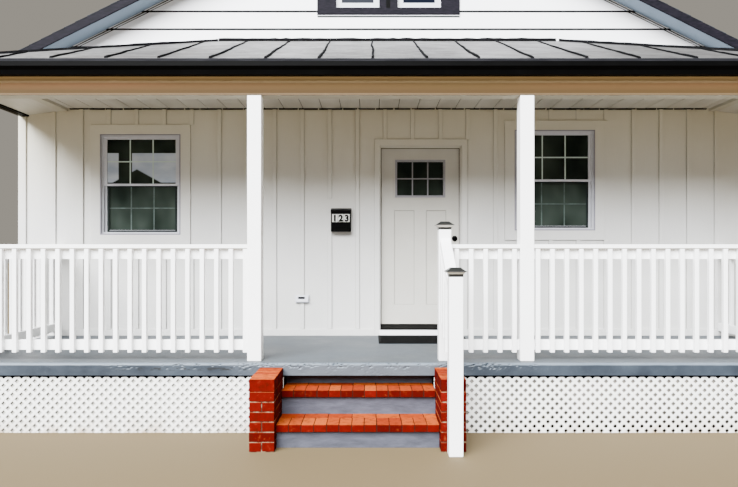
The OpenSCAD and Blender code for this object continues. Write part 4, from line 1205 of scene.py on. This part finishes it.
def makeBeamTrim():
    # A paler planted strip along the foot of the front beam
    (x0, x1), (y0, _), (z0, _) = span("porch_beams")
    bt = beamTrim
    bm = newMesh()
    addBlock(bm, x0 + 1, x1 - 1, y0 - bt["proud"], y0 + 2, z0 + 1, z0 + bt["high"])
    bevelAll(bm, 1.5)
    finishPiece(bm, "beam_strip", "strip")


ceilingBoards = {
    "under": 2603, "half": 3660, "pitch": 217, "first": -107, "groove": 8, "thick": 12, "edge": 3,
    "gapFoot": 2576, "gapHalf": 3640,
}


def makeCeilingBoards():
    # Wide boards that run from the wall to the beam, with a shadow gap at the wall
    cb = ceilingBoards
    y0, y1 = span("porch_ceiling")[1]
    under, half, groove = cb["under"], cb["half"], cb["groove"] / 2
    draw = random.Random(17)
    bm = newMesh()
    x = cb["first"] - cb["pitch"] * math.ceil((half + cb["first"]) / cb["pitch"])
    while x < half:
        a, b = max(x + groove, -half + 2), min(x + cb["pitch"] - groove, half - 2)
        x += cb["pitch"]
        if b - a < 15:
            continue
        addBlock(bm, a, b, y0 + 3, y1 - 16 - draw.uniform(0, 10), under - cb["thick"], under + 1)
    bevelAll(bm, cb["edge"], 2)
    finishPiece(bm, "ceiling_boards", "ceiling")
    dark = newMesh()
    x = cb["first"] - cb["pitch"] * math.floor((half + cb["first"]) / cb["pitch"])
    while x < half:
        addBlock(dark, x - groove + 0.5, x + groove - 0.5, y0 + 6, y1 - 20, under - 5, under + 0.5)
        x += cb["pitch"]
    finishPiece(dark, "ceiling_grooves", "groove")


def makeWallGap():
    # A dark strip of painted shade in the gap between the ceiling and the wall, broken where the boards
    # meet
    cb = ceilingBoards
    draw = random.Random(29)
    bm = newMesh()
    x = -cb["gapHalf"]
    while x < cb["gapHalf"]:
        end = min(x + cb["pitch"] * draw.uniform(0.7, 1.3), cb["gapHalf"])
        addBlock(bm, x + 3, end - draw.uniform(3, 14), -18, 0.4, cb["gapFoot"] + draw.uniform(0, 4),
                 cb["under"] + 0.5)
        x = end
    bevelAll(bm, 1)
    finishPiece(bm, "ceiling_gap", "tar")


makeRoofSheets()
makeSeamSealer()
makeHipSealer()
makeDripEdge()
makeGutterLips()
makeBeamTrim()
makeCeilingBoards()
makeWallGap()
setFinish("black", "porch_fascia", "porch_gutters")
setFinish("ceiling", "porch_ceiling")
setFinish("beam", "porch_beams")
print("porch roof: sheets, seams, gutters and ceiling")

# Porch floor with its rounded, chipped edge

slab = {
    "half": 3900, "deep": 1675, "thick": 108, "radius": 24,
    "cut": 11,            # length of one slice along the front
    "lump": 3.5,          # how far the thick paint wanders
    "chip": 13.0,         # depth of the chips in the middle
    "chipFrom": -2600, "chipTo": 1300,
}


def slabOutline():
    s = slab
    points = [(0, -s["thick"]), (0, 0), (-0.35 * s["deep"], 0), (-0.7 * s["deep"], 0)]
    points += [(-s["deep"] + r, 0) for r in (220, 120, 70, 42)]
    for k in range(7):
        turn = math.radians(15 * k)
        back, down = 1 - math.sin(turn), 1 - math.cos(turn)
        points.append((-s["deep"] + s["radius"] * back, -s["radius"] * down))
    points += [(-s["deep"], z) for z in (-34, -46, -58, -72, -86, -97, -108)]
    return points + [(-s["deep"] + 60, -s["thick"])]


def chipDepth(place):
    # Chips bite where two scales of noise agree, mostly along the rounded edge by the steps
    s = slab
    x = place.x * 1000
    inside = min(max((x - s["chipFrom"]) / 600, 0), max((s["chipTo"] - x) / 400, 0), 1.0)
    below = -1000 * (place.z - floorZ)
    nearEdge = min(max((62 - below) / 30, 0.12), 1.0)
    broad = noise.noise(place * 5)
    fine = noise.noise(place * Vector((44, 40, 95)))
    return max(0.0, broad * 0.7 + fine - 0.12) * inside * nearEdge


def makePorchSlab():
    s = slab
    bm = newMesh()
    outline = [at(-s["half"], y, z) for y, z in slabOutline()]
    base = [bm.verts.new(p) for p in outline]
    bm.faces.new(base)
    rows = int(2 * s["half"] / s["cut"])
    step = 2 * s["half"] / rows / 1000
    edges = bm.edges[:]
    for _ in range(rows):
        grown = bmesh.ops.extrude_edge_only(bm, edges=edges)["geom"]
        verts = [g for g in grown if isinstance(g, bmesh.types.BMVert)]
        edges = [g for g in grown if isinstance(g, bmesh.types.BMEdge)]
        bmesh.ops.translate(bm, vec=(step, 0, 0), verts=verts)
    bmesh.ops.holes_fill(bm, edges=edges, sides=60)
    bmesh.ops.recalc_face_normals(bm, faces=bm.faces[:])
    chips = bm.verts.layers.float.new("chipped")
    front = at(0, -s["deep"] + 60, 0).y
    for v in bm.verts:
        if v.co.y > front or abs(v.co.x) > (s["half"] - 1) / 1000:
            continue
        near = min(1.0, (front - v.co.y) / 0.03)
        lump = 0.5 + 0.5 * noise.noise(v.co * Vector((9, 9, 18)))
        bite = min(chipDepth(v.co), 1.0)
        inward = s["lump"] * lump + s["chip"] * bite * near
        v.co.y += inward / 1000
        if v.co.z > at(0, 0, -s["radius"]).z:
            v.co.z -= (0.4 * s["lump"] * lump + 0.6 * s["chip"] * bite) * near / 1000
        v[chips] = min(1.0, bite * 3) * near
    finishPiece(bm, "porch_slab", "deck", nodes=("porch_floor",))


makePorchSlab()
print("porch: slab")


# Brick piers, brick treads and painted risers

bricks = {
    "joint": 6, "topJoint": 3, "long": 200, "edge": 2.5, "jitter": 2.0,
    "rowlock": 100, "rowlockStep": 68.6, "course": 78.7,
    "headers": 13, "headerDeep": 203, "treadJoint": 3,
    "mortarIn": 4, "seed": 31,
    "treadThick": 60,
    "upperFront": -1781,  # of the upper tread
    "riserBehind": 36,    # the upper riser stands this far behind the upper tread's front
}


def addBrick(bm, draw, x0, x1, y0, y1, z0, z1):
    # One brick, set in by a random hair so that no face lines up with the next
    j = [draw.uniform(0, bricks["jitter"]) for _ in range(6)]
    made = addBlock(bm, x0 + j[0], x1 - j[1], y0 + j[2], y1 - j[3], z0 + j[4], z1 - j[5])
    turnBlock(bm, made, at((x0 + x1) / 2, (y0 + y1) / 2, (z0 + z1) / 2), "Z", draw.uniform(-0.25, 0.25))
    paintTone(bm, made, draw.random())


def addPierBricks(bm, draw, x0, x1, y0, y1, z0, z1):
    # Courses of stretchers and headers by turns, under a row of bricks on edge
    b = bricks
    half = b["joint"] / 2
    top = z1 - b["rowlock"]
    count = round((y1 - y0) / b["rowlockStep"])
    step = (y1 - y0) / count
    for k in range(count):
        near = y0 + k * step + (half if k else 0)
        far = y0 + (k + 1) * step - (half if k < count - 1 else 0)
        addBrick(bm, draw, x0, x1, near, far, top + b["topJoint"] / 2, z1)
    courses = round((top - z0) / b["course"])
    rise = (top - z0) / courses
    for row in range(courses):
        low = z0 + row * rise + half
        high = z0 + (row + 1) * rise - (half if row < courses - 1 else b["topJoint"] / 2)
        if (courses - row) % 2:
            across = round((y1 - y0) / (b["long"] / 2))
            pitch = (y1 - y0 + b["joint"]) / across
            for k in range(across):
                addBrick(bm, draw, x0, x1, y0 + k * pitch, y0 + (k + 1) * pitch - b["joint"], low, high)
        else:
            middle = (x0 + x1) / 2
            y = y0
            while y < y1 - 15:
                end = min(y + b["long"], y1)
                addBrick(bm, draw, x0, middle - half, y, end, low, high)
                addBrick(bm, draw, middle + half, x1, y, end, low, high)
                y = end + b["joint"]


def makePiers():
    b = bricks
    draw = random.Random(b["seed"])
    (x0, x3), (y0, y1), (z0, z1) = span("step_piers")
    treads = span("step_treads")[0]
    core, bm = newMesh(), newMesh()
    for left, right in ((x0, treads[0]), (treads[1], x3)):
        addPierBricks(bm, draw, left, right, y0, y1, z0, z1)
        m = b["mortarIn"]
        addBlock(core, left + m, right - m, y0 + m, y1 - m, z0, z1 - m - 2)
    bevelAll(bm, b["edge"], 2)
    finishPiece(bm, "pier_bricks", "brick", nodes=("step_piers",))
    finishPiece(core, "pier_mortar", "mortar", nodes=("step_piers",))


def makeTreads():
    b = bricks
    draw = random.Random(b["seed"] + 1)
    (x0, x1), (front, back), (low, high) = span("step_treads")
    thick, upperFront = b["treadThick"], b["upperFront"]
    bm, bed = newMesh(), newMesh()
    joint = b["treadJoint"] / 2
    pitch = (x1 - x0) / b["headers"]
    for y0, y1, top in ((upperFront, back, high), (front, upperFront + b["riserBehind"], low + thick)):
        for k in range(b["headers"]):
            addBrick(bm, draw, x0 + k * pitch + joint, x0 + (k + 1) * pitch - joint,
                     y0, y0 + b["headerDeep"], top - thick, top)
        x = x0
        while x < x1 - 20:
            end = min(x + b["long"], x1)
            addBrick(bm, draw, x + joint, end - joint, y0 + b["headerDeep"] + 5, y1, top - thick, top - 1)
            x = end
        m = b["mortarIn"]
        addBlock(bed, x0 + 1, x1 - 1, y0 + m, y1, top - thick + 1, top - m)
    bevelAll(bm, 3, 2)
    finishPiece(bm, "tread_bricks", "brick", nodes=("step_treads",))
    finishPiece(bed, "tread_mortar", "oldMortar", nodes=("step_treads",))


# Posts, rails, newels and lattice

newelCaps = {
    "wide": 160, "high": 72, "collar": 113, "lampLow": 121, "lampHigh": 150, "flat": 74,
    "collarUp": 23, "lampUp": 38, "plateUp": 43,
}


def addTaper(bm, x, y, low, high, wideLow, wideHigh):
    # A square block whose width changes from its foot to its top
    made = bmesh.ops.create_cone(bm, cap_ends=True, segments=4, radius1=wideLow / 1000 / math.sqrt(2),
                                 radius2=wideHigh / 1000 / math.sqrt(2), depth=(high - low) / 1000)["verts"]
    bmesh.ops.rotate(bm, cent=(0, 0, 0), matrix=Matrix.Rotation(math.pi / 4, 3, "Z"), verts=made)
    bmesh.ops.translate(bm, vec=at(x, y, (low + high) / 2), verts=made)


def makeNewelCaps():
    # Solar lamp caps: a black collar, a frosted band that flares out, and a cut-off black pyramid
    c = newelCaps
    (_, x1), (y0, y1), (z0, z1) = span("newel_caps")
    x = x1 - c["wide"] / 2
    black, lamp, cell = newMesh(), newMesh(), newMesh()
    for y, foot in ((y1 - c["wide"] / 2, z1 - c["high"]), (y0 + c["wide"] / 2, z0)):
        addTaper(black, x, y, foot, foot + c["collarUp"], c["collar"] - 6, c["collar"])
        addTaper(lamp, x, y, foot + c["collarUp"] - 1, foot + c["lampUp"] + 1,
                 c["lampLow"] - 8, c["lampHigh"] - 6)
        addTaper(black, x, y, foot + c["lampUp"], foot + c["plateUp"], c["wide"], c["wide"])
        addTaper(black, x, y, foot + c["plateUp"] - 0.5, foot + c["high"], c["wide"] - 6, c["flat"])
        addTaper(cell, x, y, foot + c["high"] - 2, foot + c["high"], c["flat"] - 8, c["flat"] - 8)
    bevelSharp(black, 1.2, 2)
    bevelSharp(lamp, 0.8)
    finishPiece(black, "newel_cap_shells", "cap", nodes=("newel_caps",))
    finishPiece(lamp, "newel_cap_lamps", "lens")
    finishPiece(cell, "newel_cap_cells", "ink")


lattice = {"pitch": 55, "wide": 25.5, "thick": 4.6, "step": 2.2, "edge": 0.7, "top": 20,
           "sunk": 7.2, "lower": 8, "behind": 16, "backing": 2.5}


def latticePanel(length, high, sunk=0, lower=0):
    # Two layers of slanting strips on the face of a panel that runs from 0 to its length
    lt = lattice
    bm = newMesh()
    slant = math.sqrt(0.5)
    row = lt["pitch"] / slant
    x0 = (length - math.floor(length / row - 0.5) * row) / 2       # the first hole's middle
    z0 = (high - math.floor(2 * high / row - 0.5) * row / 2) / 2
    for layer, turn, first, low, top, start, end in (
            (0, 45, x0 - z0, -high, length, 0, length + high),
            (1, -45, x0 + z0, 0, length + high, -length, high)):
        y0 = 0.4 + sunk + layer * lt["step"]
        count = math.ceil((low - first) * slant / lt["pitch"]) - 1
        place = first * slant + (count + 0.5) * lt["pitch"]
        while place < top * slant + lt["wide"]:
            made = addBlock(bm, place - lt["wide"] / 2, place + lt["wide"] / 2, y0, y0 + lt["thick"],
                            start * slant - 20, end * slant + 20)
            turnBlock(bm, made, at(0, y0, 0), "Y", turn)
            place += lt["pitch"]
    if not sunk:
        bevelAll(bm, lt["edge"])
    bmesh.ops.translate(bm, vec=(0, 0, -lower / 1000), verts=bm.verts[:])
    for point, normal in ((at(0, 0, 0), (-1, 0, 0)), (at(length, 0, 0), (1, 0, 0)),
                          (at(0, 0, 0), (0, 0, -1)), (at(0, 0, high - lt["top"]), (0, 0, 1))):
        clipTo(bm, point, normal)
    return bm


def makeLattices():
    faceY, z0, z1 = span("lattice_left")[1][0], *span("lattice_left")[2]
    sheets, backs = newMesh(), newMesh()
    for node in ("lattice_left", "lattice_right"):
        x0, x1 = span(node)[0]
        bm = latticePanel(x1 - x0, z1 - z0)
        # a dark copy of the strips, set behind and lowered, is painted shadow at the top of each hole
        back = latticePanel(x1 - x0, z1 - z0, lattice["sunk"], lattice["lower"])
        for mesh in (bm, back):
            bmesh.ops.translate(mesh, vec=Vector((x0, faceY, z0)) / 1000, verts=mesh.verts[:])
        joinInto(backs, back)
        finishPiece(bm, node + "_strips", "lattice", nodes=(node,))
        back = faceY + lattice["behind"]
        addBlock(sheets, x0 + 2, x1 - 2, back, back + lattice["backing"], z0, z1 - 2)
    (_, x1), (y0, y1), _ = span("lattice_sides")
    both = newMesh()
    for side in (-1, 1):
        bm = latticePanel(y1 - y0, z1 - z0)
        lift = Matrix.Translation(Vector((0, 0, z0)) / 1000)
        spin = Matrix.Translation(at(side * x1, y0 if side > 0 else y1, 0))
        spin = spin @ Matrix.Rotation(math.radians(90 * side), 4, "Z") @ Matrix.Translation(-at(0, 0, 0))
        turnedWall(bm, lift @ spin)
        joinInto(both, bm)
        inner = side * (x1 - lattice["behind"])
        a, b = sorted((inner, inner - side * lattice["backing"]))
        addBlock(sheets, a, b, y0 + 30, y1 - 2, z0, z1 - 2)
    finishPiece(both, "lattice_side_strips", "lattice", nodes=("lattice_sides",))
    finishPiece(backs, "lattice_strip_shadows", "shade")
    finishPiece(sheets, "lattice_backing", "backing")


capLine = {
    "post": -1289,        # where the left rail ends at the steps
    "near": 1.2, "far": 2.5, "low": 39, "high": 32,
}


def makeCapLines():
    # A thin line of painted shadow along the lower edge of the front rail's cap
    cl = capLine
    (left, right), (front, _), (_, top) = span("porch_rail_front")
    newel = span("newel_posts")[0][1]
    bm = newMesh()
    for x0, x1 in ((left, cl["post"]), (newel, right)):
        addBlock(bm, x0, x1, front + cl["near"], front + cl["far"], top - cl["low"], top - cl["high"])
    finishPiece(bm, "rail_cap_lines", "capLine")


makePiers()
makeTreads()
makeCapLines()
makeNewelCaps()
makeLattices()
setFinish("riser", "step_core")
for node, width in (("porch_posts", 4), ("porch_rail_front", 2.5), ("porch_rail_sides", 2.5),
                    ("stair_rail", 2.5), ("newel_posts", 4)):
    softNode(node, node + "_painted", width, "trim")
print("porch: steps, rails and lattice")


# Front door, windows and wall fittings

door = {"middle": doorway["middle"], "face": 80, "foot": 122, "thick": 45, "glassIn": 14.5}
doorLite = {"half": 266, "low": 1484, "high": 1872, "bar": 14, "proud": 9, "bead": 25}
doorPanel = {"half": 116, "middle": 184, "low": 225, "high": 1312, "line": 4}


def makeDoorBars():
    # Three by two bars over the glass, on both faces of the door
    d, lite = door, doorLite
    bm = newMesh()
    glassFront, glassBack = d["face"] + d["glassIn"], d["face"] + d["thick"] - d["glassIn"]
    low, high = d["foot"] + lite["low"], d["foot"] + lite["high"]
    pane = 2 * lite["half"] / 3
    for y0, y1 in ((glassFront - lite["proud"], glassFront), (glassBack, glassBack + lite["proud"])):
        for k in (-0.5, 0.5):
            x = d["middle"] + k * pane
            addBlock(bm, x - lite["bar"] / 2, x + lite["bar"] / 2, y0, y1, low - 1, high + 1)
        middle = (low + high) / 2
        addBlock(bm, d["middle"] - lite["half"] - 1, d["middle"] + lite["half"] + 1, y0 + 0.5, y1,
                 middle - lite["bar"] / 2, middle + lite["bar"] / 2)
    bevelAll(bm, 2, 2)
    finishPiece(bm, "door_bars", "bead", "door_leaf")


def makeLiteFrame():
    # A raised vinyl bead round the glass, on both faces of the door
    d, lite = door, doorLite
    bm = newMesh()
    low, high = d["foot"] + lite["low"], d["foot"] + lite["high"]
    left, right = d["middle"] - lite["half"], d["middle"] + lite["half"]
    bead = lite["bead"]
    back = d["face"] + d["thick"]
    for y0, y1 in ((d["face"] - 10, d["face"] - 6), (back + 6, back + 10)):
        for x0, x1, z0, z1 in ((left - bead, left, low - bead, high + bead),
                               (right, right + bead, low - bead, high + bead),
                               (left - 1, right + 1, low - bead, low),
                               (left - 1, right + 1, high, high + bead)):
            addBlock(bm, x0, x1, y0, y1, z0, z1)
    bevelAll(bm, 2, 2)
    finishPiece(bm, "door_lite_frame", "bead", "door_leaf")


def makePanelLines():
    # The shaded inner corner round both lower panels of the door
    d, p = door, doorPanel
    bm = newMesh()
    half, line = p["half"] - p["line"], p["line"]
    back = d["face"] + d["thick"]
    for s in (-1, 1):
        middle = d["middle"] + s * p["middle"]
        for y0, y1 in ((d["face"] + 0.6, d["face"] + 8), (back - 8, back - 0.6)):
            addRing(bm, middle - half, middle + half, d["foot"] + p["low"] + line,
                    d["foot"] + p["high"] - line, line, y0, y1)
    finishPiece(bm, "door_panel_lines", "joint", "door_leaf")


def makeWeatherstrip():
    # The dark strip that shows round the closed door, on the frame beside and over it
    d = door
    inner, head = doorway["half"], doorway["head"]
    y0, y1 = d["face"] - 4.8, d["face"] - 0.8
    bm = newMesh()
    for s in (-1, 1):
        a, b = sorted((d["middle"] + s * (inner - 2), d["middle"] + s * (inner - 15)))
        addBlock(bm, a, b, y0, y1, d["foot"] + 2, head - 2)
    addBlock(bm, d["middle"] - inner + 3, d["middle"] + inner - 3, y0, y1, head - 15, head - 2)
    finishPiece(bm, "door_weatherstrip", "weatherstrip")


sash = {
    "half": 457, "frame": 28, "stile": 36, "rail": 24, "depth": 30, "behind": 14,
    "bar": 13, "thick": 2.4, "screenOut": 10, "screenIn": 16, "line": 12,
}


def addGrille(bm, x, low, high, half, face):
    # Two upright bars and one across, for six panes
    s = sash
    bar = s["bar"] / 2
    for u in (x - half / 3, x + half / 3):
        addBlock(bm, u - bar, u + bar, face - s["thick"], face, low - 1, high + 1)
    v = (low + high) / 2
    addBlock(bm, x - half - 1, x + half + 1, face - s["thick"] + 0.3, face, v - bar, v + bar)


def dressSash(parts, x, sill):
    # Six panes over six, and a dark screen frame round the lower sash
    bm, low, screen, lines = parts
    s = sash
    half = s["half"] - s["frame"] - s["stile"]
    top = sill + windowHigh
    middle = sill + windowHigh / 2
    face = s["behind"] + s["depth"] / 2 - 3
    addGrille(bm, x, middle + s["rail"] / 2, top - s["frame"] - s["rail"], half, face)
    addGrille(low, x, sill + s["frame"] + s["rail"], middle - s["rail"] / 2, half, face + s["depth"])
    wide = half + s["screenOut"]
    front = s["behind"] + s["depth"] - 4
    foot = sill + s["frame"] + 1
    head = middle - 13
    inner = half - s["screenIn"]
    for x0, x1, z0, z1 in ((-wide, -inner, foot, head), (inner, wide, foot, head),
                           (-inner - 1, inner + 1, foot, foot + 20),
                           (-inner - 1, inner + 1, head - 6, head)):
        addBlock(screen, x + x0, x + x1, front, front + 3.6, z0, z1)
    out = s["half"] - 10
    proud = span("window_trim")[1][0]
    addRing(lines, x - out, x + out, sill + 10, top - 10, s["line"], proud - 0.7, proud + 1)


def makeGrilles():
    every = [newMesh() for _ in range(4)]
    for x, up in windowPlaces.values():
        dressSash(every, x, up)
    walls = [(sideTurn(s), [(k * sideWindowStep, sideWindowUp) for k in (-1, 0, 1)]) for s in (-1, 1)]
    walls.append((backTurn(), [(s * backWindowX, sideWindowUp) for s in (-1, 1)]))
    for turn, places in walls:
        parts = [newMesh() for _ in range(4)]
        for x, up in places:
            dressSash(parts, x, up)
        for mesh, target in zip(parts, every):
            turnedWall(mesh, turn)
            joinInto(target, mesh)
    for mesh in every[:3]:
        bevelAll(mesh, 0.8)
    for mesh, name, finish, slot in zip(
            every, ("upper_grilles", "lower_grilles", "screen_frames", "window_joint_lines"),
            ("grilleUpper", "grille", "screen", "outline"), ("white_vinyl",) * 3 + ("white_trim",)):
        finishPiece(mesh, name, finish)


mailPlate = {
    "tiles": "123", "wide": 62, "high": 88, "gap": 5, "low": 108, "face": 97, "thick": 2.2,
    "digit": 98, "digitUp": 9, "digitIn": 0.5, "stroke": 6, "relief": 0.4,
}


def makeMailPlate():
    # Three white tiles with generic digits
    m = mailPlate
    half, front = m["wide"] / 2, -m["face"] - m["thick"]
    low = mailPlace[1] + m["low"]
    middles = [mailPlace[0] + k * (m["wide"] + m["gap"]) for k in (-1, 0, 1)]
    bm = newMesh()
    for x in middles:
        addBlock(bm, x - half, x + half, front, -m["face"] + 1, low, low + m["high"])
    bevelAll(bm, 0.8)
    finishPiece(bm, "mailbox_number_tiles", "plate")
    digits = newMesh()
    for x, letter in zip(middles, m["tiles"]):
        curve = bpy.data.curves.new("digit", "FONT")
        curve.body = letter
        curve.align_x = "CENTER"
        curve.size = m["digit"] / 1000
        curve.extrude = m["relief"] / 1000
        curve.offset = m["stroke"] / 1000
        curve.resolution_u = 4
        holder = addObject("digit", curve)
        graph = bpy.context.evaluated_depsgraph_get()
        mesh = bpy.data.meshes.new_from_object(holder.evaluated_get(graph))
        stand = Matrix.Translation(at(x, front - m["digitIn"], low + m["digitUp"]))
        mesh.transform(stand @ Matrix.Rotation(math.pi / 2, 4, "X"))
        digits.from_mesh(mesh)
        bpy.data.objects.remove(holder)
        bpy.data.meshes.remove(mesh)
    bmesh.ops.remove_doubles(digits, verts=digits.verts[:], dist=0.00002)
    finishPiece(digits, "mailbox_digits", "ink")


def makeOutletSlot():
    # A black block for the shade inside the opening under the cover's hood: painted shade
    x, up = outletPlace
    bm = newMesh()
    addBlock(bm, x - 46, x + 31, -44, -38, up + 2, up + 24)
    bevelAll(bm, 1.5)
    finishPiece(bm, "outlet_opening", "black")


mat = {"rib": 9, "pitch": 16, "border": 26, "wider": 18}


def makeDoormat():
    # A ribbed rubber mat with a plain border
    m = mat
    (x0, x1), (y0, y1), (z0, z1) = span("doormat")
    x0 -= m["wider"]
    border = m["border"]
    left, right, front, back = x0 + border, x1 - border, y0 + border, y1 - border
    bm = newMesh()
    addBlock(bm, x0 + 2, x1 - 2, y0 + 2, y1 - 2, z0, z1 - 4)
    for edges in ((x0, x1, y0, front), (x0, x1, back, y1),
                  (x0, left, front, back), (right, x1, front, back)):
        addBlock(bm, *edges, z0, z1)
    y = front + 8
    while y < back - m["rib"]:
        addBlock(bm, left - 1, right + 1, y, y + m["rib"], z0 + 2, z1 - 0.5)
        y += m["pitch"]
    bevelAll(bm, 1.6)
    finishPiece(bm, "ribbed_doormat", "rubber", nodes=("doormat",))


makeDoorBars()
makeLiteFrame()
makePanelLines()
makeWeatherstrip()
makeGrilles()
makeMailPlate()
makeOutletSlot()
makeDoormat()
setFinish("glass", "window_glass", "door_glass")
setFinish("black", "threshold")
softNode("door", "door_leaf_panels", 1.5, "door", "door_leaf")
softNode("door_frame", "door_casing", 2.5, "siding")
softNode("door_sill", "door_sill_board", 3, "trim")
softNode("door_lock", "door_lever_set", 1.2, "black", "door_leaf")
softNode("window_frames", "window_sashes", 1.6, "vinyl", steps=1)
softNode("mailbox", "mailbox_shell", 0.6, "black", steps=1)
softNode("mailbox_lid", "mailbox_flap", 0.6, "black", "mail_lid", steps=1)
softNode("outlet_cover", "outlet_hood", 2, "vinyl")
print("openings: door, windows and fittings")


# Studio: floor, light and camera

studio = {
    "floor": "#504226", "reach": 60,
    "sky": "#f3ebdc", "skyPower": 0.375,
    "sunPower": 22.5, "sunSize": 48, "sunTilt": 50, "sunTurn": -18,
    "panelPower": 11900, "panelPlace": (-15, -17, 17), "panelSize": 12,
    "colour": (0.96, 0.98, 1.0),
}


def makeFloor():
    bm = newMesh()
    made = bmesh.ops.create_grid(bm, x_segments=1, y_segments=1, size=studio["reach"])["verts"]
    bmesh.ops.translate(bm, vec=(0, 0, -0.001), verts=made)
    mesh = bpy.data.meshes.new("studio_floor")
    bm.to_mesh(mesh)
    bm.free()
    mesh.materials.append(newMaterial("StudioFloor", studio["floor"], 0.9)[0])
    floor = addObject("studio_floor", mesh)


def makeSky():
    world = bpy.data.worlds.new("studio")
    bpy.context.scene.world = world
    world.use_nodes = True
    back = world.node_tree.nodes["Background"]
    back.inputs["Color"].default_value = linear(studio["sky"])
    back.inputs["Strength"].default_value = studio["skyPower"]


def addLight(name, kind, power):
    light = bpy.data.lights.new(name, kind)
    light.energy = power
    light.color = studio["colour"]
    return light, addObject(name, light)


def makeLights():
    # A wide soft sun high in front, and a bright patch of sky on the left: the porch roof shades
    # the top of the wall, and the right end is duller
    light, sun = addLight("soft_sun", "SUN", studio["sunPower"])
    light.angle = math.radians(studio["sunSize"])
    sun.rotation_euler = (math.radians(studio["sunTilt"]), 0, math.radians(studio["sunTurn"]))
    light, panel = addLight("sky_patch", "AREA", studio["panelPower"])
    light.size = studio["panelSize"]
    panel.location = studio["panelPlace"]
    aim = Vector((0, -5, 1.5)) - panel.location
    panel.rotation_euler = aim.to_track_quat("-Z", "Y").to_euler()


camera = {
    "place": (-0.205, -10.722, 1.586),
    "lens": 29.27,
    "picture": (738, 487),
    "middle": (370.5, 250),      # where the level view line meets the picture
}


def makeCamera():
    data = bpy.data.cameras.new("street_view")
    data.sensor_width = 36
    data.lens = camera["lens"]
    width, height = camera["picture"]
    data.shift_x = (width / 2 - camera["middle"][0]) / width
    data.shift_y = (camera["middle"][1] - height / 2) / width
    holder = addObject("street_view", data)
    holder.location = camera["place"]
    holder.rotation_euler = (math.pi / 2, 0, 0)
    bpy.context.scene.camera = holder


makeFloor()
makeSky()
makeLights()
makeCamera()
print("studio: floor, light and camera")

bpy.context.view_layer.update()
